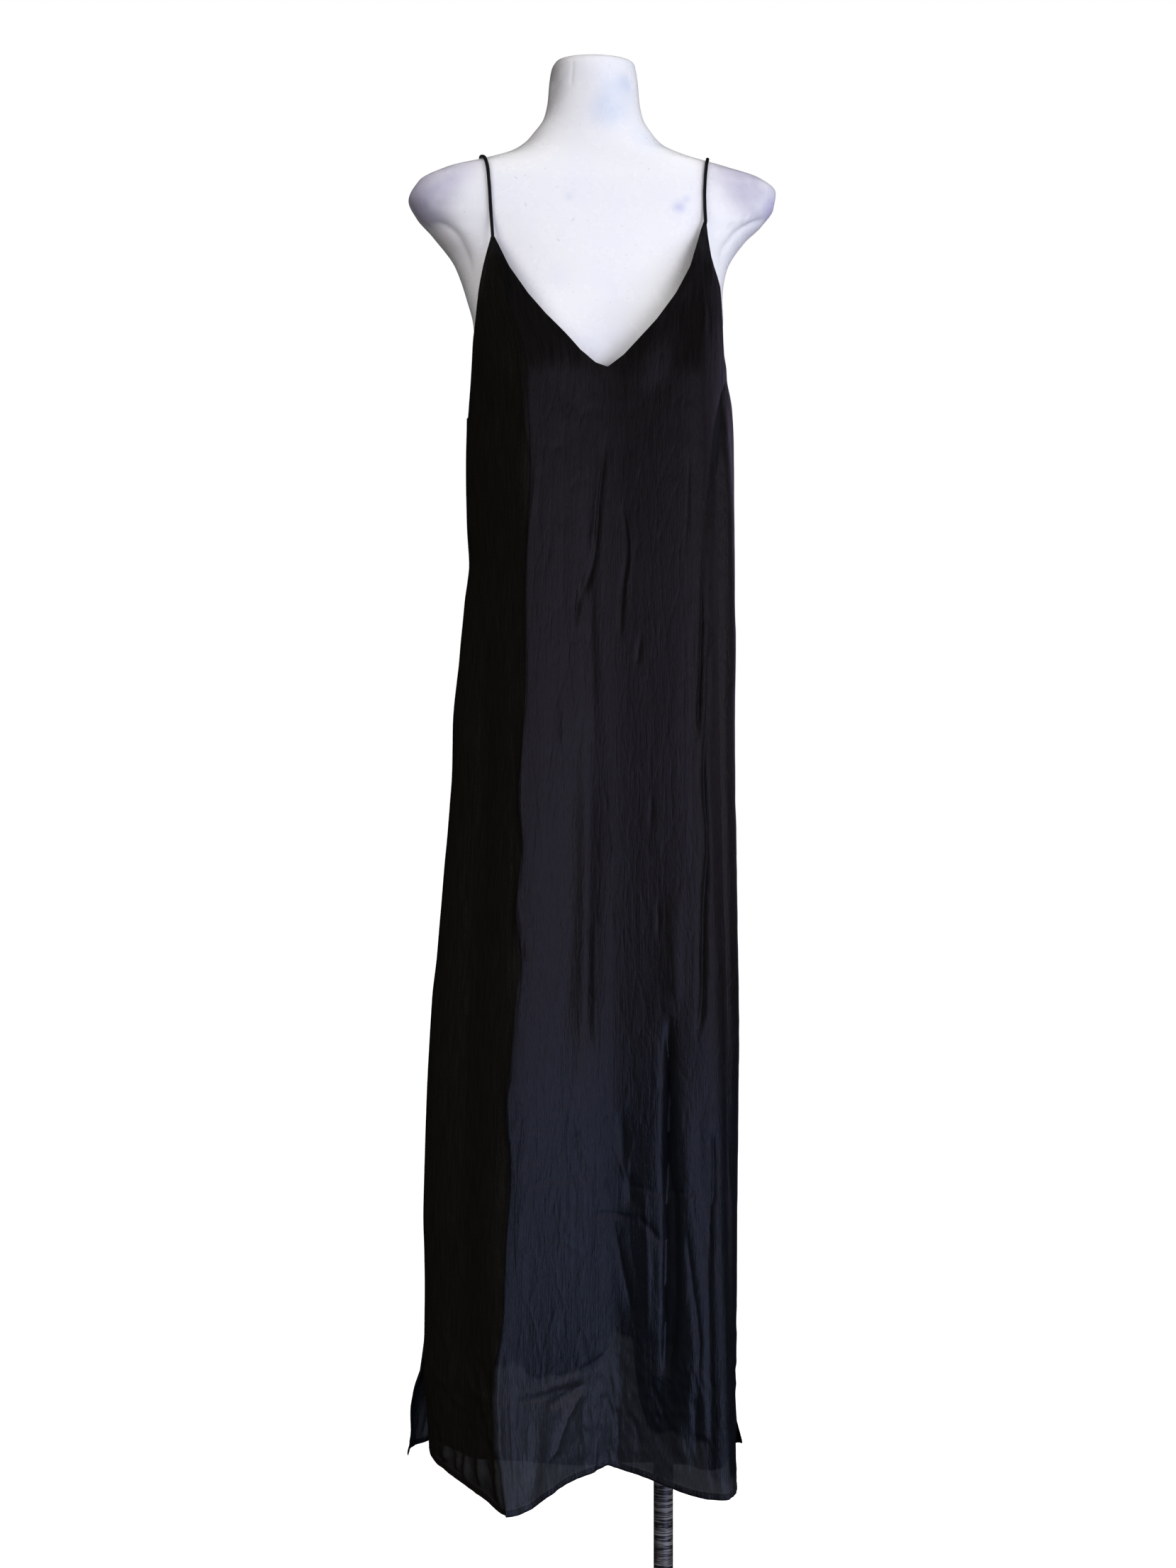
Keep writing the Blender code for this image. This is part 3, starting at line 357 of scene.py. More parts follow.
# Creases of the front: half width, depth (outward is positive), sharpness (2 is soft, 1 is pinched), then the
# route as places on the upright plane through the form's axis as the camera sees it: across and height.
FRONT_CREASES = (
    # The long edge down the left front corner, and the pleat beside it low down.
    (0.0030, 0.0016, 1.3, (
        (-0.0790, 1.407), (-0.0750, 1.320), (-0.0650, 1.257), (-0.0705, 1.200), (-0.0735, 1.132),
        (-0.0735, 1.032), (-0.0795, 0.923), (-0.0770, 0.866), (-0.0825, 0.808), (-0.0740, 0.751),
        (-0.0825, 0.714), (-0.0885, 0.637), (-0.0930, 0.597), (-0.0900, 0.535), (-0.0945, 0.472),
        (-0.0990, 0.380), (-0.1050, 0.322), (-0.1060, 0.282), (-0.1027, 0.245), (-0.1035, 0.209),
        (-0.1012, 0.177), (-0.0922, 0.155),
    )),
    (0.0060, 0.0040, 1.7, (
        (-0.0990, 0.350), (-0.1040, 0.300), (-0.1030, 0.240), (-0.1000, 0.180), (-0.0940, 0.150),
    )),
    (0.0022, -0.0013, 1.3, ((-0.0905, 0.325), (-0.0895, 0.260), (-0.0865, 0.177))),
    (0.0022, -0.0013, 1.3, ((-0.0740, 0.598), (-0.0825, 0.504), (-0.0840, 0.442), (-0.0810, 0.395))),
    (0.0020, -0.0010, 1.3, ((-0.0870, 1.010), (-0.0860, 0.900), (-0.0900, 0.800), (-0.0905, 0.700))),
    (0.0018, -0.0010, 1.3, ((-0.0900, 0.785), (-0.0760, 0.762), (-0.0860, 0.742), (-0.0740, 0.712))),
    (0.0018, -0.0010, 1.3, (
        (-0.0930, 0.622), (-0.0855, 0.580), (-0.0920, 0.545), (-0.0850, 0.510), (-0.0900, 0.492),
    )),
    (0.0018, 0.0009, 1.3, ((-0.0700, 0.790), (-0.0790, 0.765), (-0.0690, 0.735), (-0.0780, 0.700))),
    # Short pulls in the middle, under the bust.
    (0.0024, -0.0026, 1.3, (
        (0.0123, 1.304), (0.0053, 1.243), (-0.0019, 1.167), (-0.0185, 1.120), (-0.0212, 1.084),
    )),
    (0.0026, -0.0028, 1.3, (
        (0.0265, 1.232), (0.0336, 1.181), (0.0289, 1.139), (0.0265, 1.101), (0.0238, 1.076),
    )),
    (0.0020, -0.0022, 1.3, ((0.0482, 1.088), (0.0430, 1.054))),
    (0.0022, 0.0012, 1.4, ((0.0085, 1.290), (0.0012, 1.235), (-0.0058, 1.165))),
    (0.0024, 0.0012, 1.4, ((0.0300, 1.225), (0.0372, 1.180), (0.0328, 1.138), (0.0300, 1.100))),
    (0.0018, 0.0010, 1.3, ((-0.0352, 1.014), (-0.0350, 0.965))),
    (0.0020, -0.0011, 1.3, ((-0.0180, 1.190), (-0.0182, 1.100))),
    (0.0018, -0.0010, 1.3, ((0.0180, 0.800), (0.0183, 0.775))),
    (0.0018, -0.0012, 1.3, ((0.0670, 0.808), (0.0655, 0.765))),
    (0.0018, -0.0012, 1.3, ((0.0600, 0.918), (0.0570, 0.886))),
    (0.0080, -0.0016, 2.0, ((-0.0135, 1.010), (-0.0110, 0.840), (-0.0105, 0.645))),
    (0.0034, 0.0008, 1.6, ((-0.0020, 0.800), (-0.0018, 0.646))),
    # The long fold near the right edge, and the roll beyond it.
    (0.0036, -0.0062, 1.4, (
        (0.1400, 1.372), (0.1370, 1.340), (0.1290, 1.290), (0.1215, 1.218), (0.1170, 1.157),
        (0.1150, 1.100), (0.1120, 1.032), (0.1080, 0.968),
    )),
    (0.0034, -0.0046, 1.4, (
        (0.1240, 1.100), (0.1205, 1.010), (0.1160, 0.940), (0.1205, 0.868), (0.1150, 0.800),
        (0.1125, 0.694), (0.1040, 0.656),
    )),
    (0.0040, 0.0016, 1.6, ((0.1360, 1.367), (0.1390, 1.267), (0.1440, 1.132), (0.1455, 1.012))),
    (0.0090, 0.0016, 2.0, ((0.0850, 0.830), (0.0843, 0.760), (0.0840, 0.683))),
    (0.0020, -0.0012, 1.3, ((0.1035, 1.120), (0.1030, 1.030), (0.1060, 0.960))),
    (0.0020, -0.0011, 1.3, ((0.0990, 1.290), (0.0975, 1.225), (0.0940, 1.170))),
    # Deep folds low on the right.
    (0.0052, -0.0046, 1.5, (
        (0.0772, 0.690), (0.0765, 0.600), (0.0772, 0.520), (0.0821, 0.480), (0.0821, 0.364),
        (0.0740, 0.300),
    )),
    (0.0024, -0.0046, 1.2, (
        (0.0750, 0.672), (0.0765, 0.600), (0.0755, 0.520), (0.0745, 0.430), (0.0735, 0.350),
        (0.0720, 0.300),
    )),
    (0.0034, -0.0024, 1.4, ((0.0945, 0.470), (0.1010, 0.410), (0.1088, 0.350), (0.1090, 0.290))),
    (0.0036, -0.0028, 1.5, ((0.1249, 0.580), (0.1249, 0.497), (0.1208, 0.480), (0.1208, 0.415))),
    (0.0030, -0.0020, 1.4, ((0.0165, 0.475), (0.0300, 0.410), (0.0420, 0.355))),
    (0.0060, -0.0022, 1.7, ((0.0270, 0.590), (0.0285, 0.520))),
    (0.0056, -0.0022, 1.7, ((0.0350, 0.520), (0.0375, 0.478))),
    (0.0032, -0.0020, 1.4, ((0.0440, 0.474), (0.0590, 0.456), (0.0720, 0.441))),
    (0.0030, 0.0012, 1.5, ((0.0500, 0.520), (0.0540, 0.440), (0.0560, 0.340))),
    (0.0060, -0.0030, 1.8, ((0.1045, 0.300), (0.1055, 0.240), (0.1052, 0.190))),
    (0.0050, 0.0024, 1.8, ((0.0875, 0.268), (0.0880, 0.210))),
    # Faint level creases where the cloth was folded away.
    (0.0017, -0.0009, 1.3, ((-0.0825, 0.5325), (-0.0593, 0.531))),
    (0.0018, -0.0012, 1.3, (
        (-0.0795, 0.5033), (-0.0652, 0.505), (-0.0518, 0.511), (-0.0247, 0.5115), (-0.0037, 0.5205),
    )),
    (0.0018, -0.0014, 1.3, ((-0.0127, 0.4725), (0.0105, 0.4755), (0.0308, 0.4725), (0.0450, 0.4695))),
    (0.0017, -0.0011, 1.3, ((0.0165, 0.5048), (0.0450, 0.5032), (0.0712, 0.4972), (0.1237, 0.4972))),
    (0.0016, -0.0009, 1.3, ((-0.0247, 0.5528), (-0.0158, 0.561))),
    (0.0017, -0.0009, 1.3, ((-0.0760, 0.560), (-0.0560, 0.568), (-0.0300, 0.560))),
    (0.0018, -0.0010, 1.3, ((-0.0600, 0.452), (-0.0350, 0.446), (-0.0100, 0.432))),
    # The lit diagonal above the hem, its hollow, and the small creases round it.
    (0.0028, 0.0030, 1.2, (
        (-0.0097, 0.292), (-0.0278, 0.265), (-0.0353, 0.247), (-0.0450, 0.220), (-0.0563, 0.205),
    )),
    (0.0044, -0.0028, 1.5, ((-0.0075, 0.2955), (-0.0300, 0.283), (-0.0548, 0.268))),
    (0.0022, -0.0014, 1.3, (
        (-0.1000, 0.284), (-0.0803, 0.276), (-0.0600, 0.2805), (-0.0375, 0.2873), (-0.0202, 0.2918),
        (-0.0052, 0.2955),
    )),
    (0.0030, 0.0012, 1.4, (
        (-0.0900, 0.284), (-0.0600, 0.288), (-0.0375, 0.295), (-0.0200, 0.300), (-0.0050, 0.304),
    )),
    (0.0020, -0.0009, 1.3, (
        (-0.0900, 0.317), (-0.0825, 0.310), (-0.0600, 0.306), (-0.0353, 0.303), (-0.0022, 0.317),
        (0.0165, 0.3345), (0.0225, 0.344), (0.0465, 0.344),
    )),
    (0.0018, -0.0012, 1.2, ((-0.0705, 0.260), (-0.0715, 0.225), (-0.0705, 0.188))),
    (0.0020, -0.0012, 1.3, ((-0.0127, 0.284), (-0.0135, 0.250), (-0.0098, 0.224))),
    (0.0020, -0.0012, 1.3, ((-0.0503, 0.217), (-0.0202, 0.222))),
    (0.0018, -0.0010, 1.3, ((-0.0150, 0.217), (-0.0075, 0.207))),
    (0.0024, 0.0012, 1.3, ((0.0120, 0.282), (0.0080, 0.250), (0.0110, 0.220))),
    (0.0022, -0.0014, 1.3, ((0.0210, 0.275), (0.0240, 0.240), (0.0200, 0.212))),
    (0.0020, -0.0013, 1.3, ((0.0370, 0.262), (0.0428, 0.247), (0.0465, 0.231), (0.0503, 0.2145))),
    (0.0022, 0.0012, 1.3, ((0.0320, 0.300), (0.0350, 0.272), (0.0520, 0.250))),
    (0.0020, -0.0010, 1.4, ((0.1020, 0.238), (0.1240, 0.232), (0.1440, 0.236))),
    (0.0020, -0.0012, 1.3, ((0.1270, 0.275), (0.1265, 0.245))),
    # Gathers under the straps.
    (0.0018, -0.0011, 1.4, ((0.0720, 1.428), (0.0715, 1.410))),
    (0.0018, -0.0012, 1.4, ((0.0830, 1.442), (0.0828, 1.421))),
    (0.0018, -0.0012, 1.4, ((0.0940, 1.450), (0.0920, 1.428))),
    (0.0018, -0.0012, 1.4, ((0.1010, 1.465), (0.1005, 1.422))),
    (0.0022, -0.0018, 1.4, ((0.1155, 1.503), (0.1155, 1.460), (0.1215, 1.428), (0.1200, 1.402))),
    (0.0018, 0.0010, 1.4, ((0.1125, 1.500), (0.1148, 1.457), (0.1155, 1.398))),
    (0.0018, 0.0009, 1.4, ((0.1225, 1.487), (0.1240, 1.455))),
    (0.0018, -0.0011, 1.4, ((-0.1070, 1.488), (-0.1075, 1.444))),
    (0.0018, -0.0011, 1.4, ((-0.0970, 1.484), (-0.0960, 1.450))),
    (0.0018, -0.0010, 1.4, ((-0.0832, 1.457), (-0.0830, 1.424))),
    (0.0020, 0.0009, 1.4, ((-0.1087, 1.367), (-0.1050, 1.300), (-0.1020, 1.250))),
    # Slivers on the dark left side, which catch the light low down.
    (0.0030, 0.0040, 1.4, ((-0.1177, 0.292), (-0.1180, 0.258))),
    (0.0026, 0.0034, 1.4, ((-0.1102, 0.262), (-0.1104, 0.228))),
    (0.0032, 0.0044, 1.4, ((-0.1210, 0.240), (-0.1222, 0.212), (-0.1210, 0.182))),
    (0.0030, 0.0036, 1.4, ((-0.1365, 0.226), (-0.1368, 0.190))),
    (0.0024, 0.0026, 1.4, ((-0.1462, 0.220), (-0.1460, 0.202))),
    (0.0026, 0.0028, 1.4, ((-0.1590, 0.235), (-0.1592, 0.213))),
    (0.0030, 0.0013, 1.5, ((-0.1610, 0.372), (-0.1600, 0.345), (-0.1590, 0.310))),
    (0.0026, -0.0012, 1.5, ((-0.1350, 0.760), (-0.1370, 0.640), (-0.1400, 0.520))),
    (0.0026, 0.0010, 1.5, ((-0.1240, 1.080), (-0.1260, 0.960), (-0.1280, 0.860))),
)

# Creases of the back, seen from behind as x and height, like those of the front.
BACK_CREASES = (
    (0.0034, -0.0016, 1.5, ((0.010, 1.290), (0.004, 1.220), (-0.002, 1.150))),
    (0.0034, -0.0015, 1.5, ((-0.034, 1.260), (-0.030, 1.200), (-0.036, 1.130))),
    (0.0030, -0.0013, 1.4, ((0.045, 1.230), (0.041, 1.170), (0.044, 1.120))),
    (0.0055, -0.0026, 1.7, ((0.088, 1.180), (0.090, 1.020), (0.086, 0.870), (0.089, 0.720))),
    (0.0050, 0.0016, 1.8, ((-0.094, 1.120), (-0.098, 0.960), (-0.104, 0.800))),
    (0.0060, -0.0030, 1.7, ((0.034, 0.640), (0.030, 0.520), (0.035, 0.400), (0.031, 0.290))),
    (0.0055, -0.0026, 1.7, ((-0.050, 0.600), (-0.054, 0.480), (-0.049, 0.350))),
    (0.0042, -0.0018, 1.5, ((0.074, 0.500), (0.068, 0.420), (0.072, 0.330))),
    (0.0040, 0.0018, 1.5, ((-0.020, 0.360), (-0.012, 0.300), (-0.016, 0.250))),
    (0.0030, -0.0012, 1.5, ((-0.080, 0.560), (-0.040, 0.550), (-0.005, 0.556))),
    (0.0030, -0.0012, 1.5, ((-0.070, 0.505), (-0.020, 0.514), (0.040, 0.500))),
    (0.0030, -0.0010, 1.5, ((0.010, 0.452), (0.050, 0.445), (0.085, 0.455))),
    (0.0026, -0.0012, 1.4, ((0.055, 0.280), (0.052, 0.235))),
    (0.0026, -0.0012, 1.4, ((-0.075, 0.290), (-0.080, 0.245))),
)

# Short creases strewn over a panel: how many, between which places across, and between which heights.
STREWN_ZONES = {
    "front": (
        (120, (-0.100, 0.140), (0.20, 0.62)),
        (40, (-0.095, 0.145), (0.60, 1.32)),
        (26, (-0.160, -0.105), (0.20, 1.20)),
    ),
    "back": (
        (130, (-0.120, 0.120), (0.20, 0.62)),
        (80, (-0.110, 0.115), (0.60, 1.28)),
    ),
}
# Their least and most length, half width and depth, how far they lean and bend, which shares of them are
# level and sunken, their sharpness, and how much more common the short ones are.
STREWN_LENGTH = (0.016, 0.070)
STREWN_HALF_WIDTH = (0.0011, 0.0019)
STREWN_DEPTH = (0.0002, 0.0007)
STREWN_LEAN = 0.13
STREWN_BEND = 0.05
STREWN_LEVEL = 0.10
STREWN_SUNKEN = 0.62
STREWN_SHARPNESS = 1.3
STREWN_SHORTNESS = 1.6

# Crinkles: size across and down, height, and how ridged they are (0 is a soft swell, 1 is a sharp line).
CRINKLES = (
    (0.0036, 0.034, 0.00016, 0.7),
    (0.0075, 0.070, 0.00028, 0.6),
    (0.0150, 0.150, 0.00042, 0.2),
)
# Sizes across and down of the patches where crinkles are strong, and of the drift that makes them waver. The
# patches' strength has this mean and spread.
CRINKLE_PATCH = (0.050, 0.160)
PATCH_STRENGTH = (0.80, 0.55)
CRINKLE_DRIFT = (0.020, 0.050)
CRINKLE_WAVER = 0.0022
SIDEWAYS_CRINKLE = (0.035, 0.012, 0.00022)
# A ridge's height over its valleys' floor, as parts of its noise: its crest, and its fall away from it.
RIDGE_CREST = 0.5
RIDGE_FALL = 1.6
# Short crumples of the single cloth near the hem: size across and down, height, the heights between which
# they fade out, and how far they lean.
HEM_CRUMPLES = ((0.0055, 0.015, 0.00045), (0.014, 0.020, 0.00080))
HEM_CRUMPLED = (0.300, 0.420)
CRUMPLE_LEAN = 0.3
# The lining's soft waves, which fade between two heights: size across and down, height.
LINING_LOOSE = (0.85, 1.15)
LINING_WAVE = (0.045, 0.300, 0.0020)

PANEL_COLUMNS = {"front": 318, "back": 290}
PANEL_ROWS = 262
# How close together columns and rows lie: share of the way across or up, and closeness.
COLUMN_CLOSENESS = (
    (0.00, 0.80), (0.22, 0.85), (0.26, 1.20), (0.74, 1.20), (0.80, 0.80), (1.00, 0.80),
)
ROW_CLOSENESS = (
    (0.00, 1.9), (0.10, 1.9), (0.14, 1.0), (0.18, 1.0), (0.21, 1.9), (0.33, 1.9), (0.38, 0.75),
    (0.90, 0.75), (1.00, 1.1),
)
EVENLY = ((0.0, 1.0), (1.0, 1.0))
SPACING_STEPS = 2001
LINING_COLUMNS = 130
LINING_ROWS = 120

# Seeds of what is uneven. A panel adds its own to those of its surface.
PANEL_SEEDS = {"front": 100, "back": 200}
LINING_SEED = 50
STRAP_SEEDS = {"left": 301, "right": 302}
DRIFT_SEED = 11
CRINKLE_SEED = 21
SIDEWAYS_SEED = 31
PUCKER_SEED = 41
EDGE_SEED = 42
RAGGED_SEED = 51
STREWN_SEED = 61
CRUMPLE_SEED = 71
LATTICE = 256

# Strap routes over the shoulder, between the front point and the back point: x, y, height.
STRAP_ROUTES = {
    "left": (
        (-0.1178, -0.0540, 1.5200), (-0.1186, -0.0470, 1.5480), (-0.1193, -0.0350, 1.5700),
        (-0.1218, -0.0180, 1.5800), (-0.1215, -0.0020, 1.5830), (-0.1160, 0.0250, 1.5790),
        (-0.1080, 0.0550, 1.5550), (-0.1020, 0.0740, 1.5080), (-0.0950, 0.0800, 1.4450),
    ),
    "right": (
        (0.1070, -0.0540, 1.5300), (0.1068, -0.0470, 1.5500), (0.1092, -0.0350, 1.5720),
        (0.1150, -0.0180, 1.5820), (0.1180, -0.0020, 1.5850), (0.1165, 0.0250, 1.5800),
        (0.1085, 0.0550, 1.5550), (0.1020, 0.0740, 1.5080), (0.0945, 0.0800, 1.4450),
    ),
}

# Stitches: small arched threads, raised by these distances along their length.
STITCH_PITCH = 0.0030
STITCH_LENGTH = 0.0021
STITCH_RADIUS = 0.00020
STITCH_SIDES = 6
STITCH_ARCH = (-0.0001, 0.00020, 0.00020, -0.0001)
SLIT_STITCH_COLUMN = 3

# ---- The stand's sizes ----

COLLAR_RADIUS = 0.0185
COLLAR_BORE_GAP = 0.0003
COLLAR_ROUNDING = 0.0012
FLANGE_HEIGHT = 0.004
FLANGE_ROUNDING = 0.0010
BASE_ROUNDING = 0.0030
BASE_MIDDLE = 0.020
ROUNDING_STEPS = 5
TURNED_SIDES = 96

# ---- The studio's sizes ----

FLOOR_SIZE = 60.0
STUDIO_AIM = (0.0, 0.0, 1.0)
FLOOR_GLOW = 0.62
LAVENDER = (0.78, 0.65, 1.0)
# Lights: name, kind, azimuth, elevation, distance, strength, colour, size, and whether glossy surfaces mirror
# them.
LIGHTS = (
    ("overhead", "SUN", 0, 88, 4.0, 2.0, (1.0, 0.98, 0.95), math.radians(80), False),
    ("right_fill", "AREA", 38, 12, 4.0, 98.0, (0.94, 0.965, 1.0), (2.6, 2.6), False),
    ("side_fill", "AREA", 72, 8, 4.0, 46.0, (0.95, 0.97, 1.0), (1.3, 1.6), False),
    ("left_fill", "AREA", -50, 8, 4.0, 84.0, (1.0, 0.98, 0.96), (2.6, 2.6), False),
    ("key", "AREA", 40, 4, 2.6, 4.6, (0.84, 0.74, 1.0), (1.9, 1.1), True),
    ("front_sheen", "AREA", 0, 4, 2.6, 2.8, (0.84, 0.74, 1.0), (1.8, 1.1), True),
    ("purple_low", "AREA", 20, -11, 2.6, 3.9, (0.56, 0.49, 1.0), (2.0, 0.6), True),
    ("cool_low", "AREA", 25, -32, 2.8, 11.2, (0.48, 0.62, 1.0), (1.8, 1.0), True),
    ("right_glint", "AREA", 60, 2, 2.6, 0.9, (1.0, 1.0, 1.0), (0.20, 0.26), True),
    ("left_glint", "AREA", -77, 16, 2.6, 0.14, (1.0, 1.0, 1.0), (0.05, 0.12), True),
    ("left_edge", "AREA", -62, 0, 2.6, 0.5, (0.90, 0.88, 1.0), (0.5, 1.8), True),
    ("right_side", "AREA", 112, 12, 2.6, 1.8, LAVENDER, (2.4, 1.5), True),
    ("rim", "AREA", 150, 4, 2.6, 1.8, LAVENDER, (0.8, 2.4), True),
)

# Grooves of the form's front, where the arm stubs meet the chest: half width, depth, route as x and height.
GROOVE_SHARPNESS = 1.5
FORM_GROOVES = (
    (0.0030, 0.0034, (
        (0.1850, 1.530), (0.1765, 1.5286), (0.1595, 1.5196), (0.1440, 1.509), (0.1365, 1.4998),
        (0.1289, 1.488), (0.1260, 1.470),
    )),
    (0.0018, 0.0010, ((0.1560, 1.532), (0.1520, 1.522), (0.1500, 1.514))),
    (0.0018, 0.0008, ((0.1380, 1.520), (0.1340, 1.510))),
    (0.0040, 0.0034, (
        (-0.1850, 1.514), (-0.1708, 1.5118), (-0.1605, 1.5063), (-0.1517, 1.4982), (-0.1454, 1.4877),
        (-0.1399, 1.4752), (-0.1360, 1.463), (-0.1304, 1.4545),
    )),
    (0.0016, 0.0008, ((-0.0288, 1.690), (-0.0300, 1.672), (-0.0318, 1.655))),
)


# ---- Numbers ----


class SmoothTable:
    """Rows of numbers led by a key, with each column's smooth value at any key between, free of overshoot."""

    def __init__(self, rows):
        rows = np.array(sorted(rows), dtype=float)
        self.keys = rows[:, 0]
        self.values = rows[:, 1:]
        step = np.diff(self.keys)[:, None]
        slope = np.diff(self.values, axis=0) / step
        self.slopes = np.zeros_like(self.values)
        self.slopes[0] = slope[0]
        self.slopes[-1] = slope[-1]
        before, after = slope[:-1], slope[1:]
        same_way = before * after > 0
        weight_before = 2 * step[1:] + step[:-1]
        weight_after = step[1:] + 2 * step[:-1]
        safe_before = np.where(same_way, before, 1.0)
        safe_after = np.where(same_way, after, 1.0)
        mean = (weight_before + weight_after) / (weight_before / safe_before + weight_after / safe_after)
        self.slopes[1:-1] = np.where(same_way, mean, 0.0)

    def at(self, key):
        key = np.clip(np.asarray(key, dtype=float), self.keys[0], self.keys[-1])
        row = np.clip(np.searchsorted(self.keys, key, side="right") - 1, 0, len(self.keys) - 2)
        width = (self.keys[row + 1] - self.keys[row])[..., None]
        part = (key - self.keys[row])[..., None] / width
        leave, arrive = width * self.slopes[row], width * self.slopes[row + 1]
        return hermite(part, self.values[row], self.values[row + 1], leave, arrive)


def hermite(part, start, end, leave, arrive):
    """The cubic from start to end that leaves and arrives with these slopes."""
    place = (2 * part**3 - 3 * part**2 + 1) * start + (part**3 - 2 * part**2 + part) * leave
    return place + (-2 * part**3 + 3 * part**2) * end + (part**3 - part**2) * arrive


def smooth_step(value):
    """Nought below 0, one above 1, and a soft rise between."""
    value = np.clip(value, 0.0, 1.0)
    return value * value * (3 - 2 * value)


def fade_above(height, low, high):
    """One up to the low height, nought from the high one up, and a soft fall between."""
    return smooth_step((high - height) / (high - low))


def ridge(noise):
    """Noise whose zero lines are drawn up into ridges."""
    return RIDGE_CREST - RIDGE_FALL * np.abs(noise)


def value_noise(across, down, seed):
    """Smooth noise from -1 to 1 with a cell of one unit each way."""
    lattice = np.random.default_rng(seed).uniform(-1.0, 1.0, (LATTICE, LATTICE))
    column, row = np.floor(across).astype(int), np.floor(down).astype(int)
    part_across, part_down = smooth_step(across - column), smooth_step(down - row)

    def corner(right, below):
        return lattice[(column + right) % LATTICE, (row + below) % LATTICE]

    above = corner(0, 0) * (1 - part_across) + corner(1, 0) * part_across
    under = corner(0, 1) * (1 - part_across) + corner(1, 1) * part_across
    return above * (1 - part_down) + under * part_down


def smooth_route(points, count):
    """Points at even parameter steps of a curve that passes through the given ones."""
    points = [np.array(point, dtype=float) for point in points]
    ends = [2 * points[0] - points[1], *points, 2 * points[-1] - points[-2]]
    route = []
    for step in range(count):
        place = (len(points) - 1) * step / (count - 1)
        index = min(int(place), len(points) - 2)
        before, start, end, after = ends[index : index + 4]
        route.append(hermite(place - index, start, end, (end - before) / 2, (after - start) / 2))
    return np.array(route)


def even_steps(points, count):
    """The same route as this many points at even distances."""
    points = np.array(points)
    run = np.concatenate([[0], np.cumsum(np.linalg.norm(np.diff(points, axis=0), axis=1))])
    stops = np.linspace(0, run[-1], count)
    return np.stack([np.interp(stops, run, points[:, axis]) for axis in range(points.shape[1])], axis=1)


def crease_field(across, height, creases):
    """The sum of creases at these places. Each fades in and out over its ends."""
    total = np.zeros_like(across)
    for half_width, depth, sharpness, points in creases:
        steps = ROUTE_STEPS * len(points)
        route = even_steps(smooth_route(points, steps), steps)
        reach = CREASE_REACH * half_width
        low, high = route.min(axis=0) - reach, route.max(axis=0) + reach
        near = (across > low[0]) & (across < high[0]) & (height > low[1]) & (height < high[1])
        if not near.any():
            continue
        place = np.stack([across[near], height[near]], axis=1)
        nearest = np.full(len(place), np.inf)
        along = np.zeros(len(place))
        count = len(route) - 1
        for index in range(count):
            start, run = route[index], route[index + 1] - route[index]
            part = np.clip(((place - start) @ run) / (run @ run), 0.0, 1.0)
            distance = np.linalg.norm(place - start - part[:, None] * run, axis=1)
            closer = distance < nearest
            nearest = np.where(closer, distance, nearest)
            along = np.where(closer, (index + part) / count, along)
        length = np.linalg.norm(np.diff(route, axis=0), axis=1).sum()
        fade_length = min(CREASE_FADE_SHARE, CREASE_FADE / length)
        fade = smooth_step(along / fade_length) * smooth_step((1 - along) / fade_length)
        total[near] += depth * fade * np.exp(-((nearest / half_width) ** sharpness))
    return total


# ---- Meshes ----


# Edges that turn more than this many degrees look sharp.
FORM_ANGLE = 50
CLOTH_ANGLE = 75
STRAP_ANGLE = 70
THREAD_ANGLE = 80
STAND_ANGLE = 35


def add_piece(name, points, faces, material, sharp_angle, uv=()):
    """A smooth piece of one material, with its layers of places on the cloth, where it has any."""
    mesh = bpy.data.meshes.new(name)
    mesh.from_pydata(np.asarray(points).tolist(), [], faces)
    mesh.shade_smooth()
    mesh.set_sharp_from_angle(angle=math.radians(sharp_angle))
    mesh.materials.append(material)
    corner = np.zeros(len(mesh.loops), dtype=int)
    mesh.loops.foreach_get("vertex_index", corner)
    for layer_name in uv:
        layer = mesh.uv_layers.new(name=layer_name)
        places = np.asarray(uv[layer_name], dtype=np.float32).reshape(-1, 2)
        layer.data.foreach_set("uv", places[corner].ravel())
    piece = bpy.data.objects.new(name, mesh)
    bpy.context.scene.collection.objects.link(piece)
    return piece


def grid_faces(rows, columns, closed=False):
    """Quads of a grid of points, counted row by row. A closed grid's last column joins its first."""
    faces = []
    for row in range(rows - 1):
        for column in range(columns if closed else columns - 1):
            after = (column + 1) % columns
            low, high = row * columns, (row + 1) * columns
            faces.append((low + column, low + after, high + after, high + column))
    return faces


def grid_normals(grid):
    """Unit normals of a grid of rows by columns, on the side that its columns and rows turn round."""
    normals = np.cross(np.gradient(grid, axis=1), np.gradient(grid, axis=0))
    return normals / np.maximum(np.linalg.norm(normals, axis=2, keepdims=True), 1e-12)


def seen_from_camera(points):
    """Where points appear on the upright plane through the form's axis: across, and height."""
    across = math.cos(VIEW_TURN) * points[..., 0] - math.sin(VIEW_TURN) * points[..., 1]
    deep = math.sin(VIEW_TURN) * points[..., 0] + math.cos(VIEW_TURN) * points[..., 1]
    scale = VIEW_DISTANCE / (VIEW_DISTANCE + deep)
    return across * scale, VIEW_HEIGHT + (points[..., 2] - VIEW_HEIGHT) * scale


# ---- Materials ----

# Satin's two blacks, between which its streaks go, and the lighter, warmer ones of its narrow side: a painted
# fill light on that shaded side.
SATIN_BLACKS = ((0.0036, 0.0032, 0.0031), (0.0056, 0.0050, 0.0049))
SIDE_PAINTED_FILL_BLACKS = ((0.0066, 0.0059, 0.0048), (0.0090, 0.0082, 0.0070))
# Its colour low down (a painted reflection) and where no lining is behind it (painted light showing through).
SATIN_PAINTED_REFLECTION_BLUE = (0.0040, 0.0048, 0.0066)
SATIN_PAINTED_SHOW_THROUGH = (0.0140, 0.0148, 0.0180)
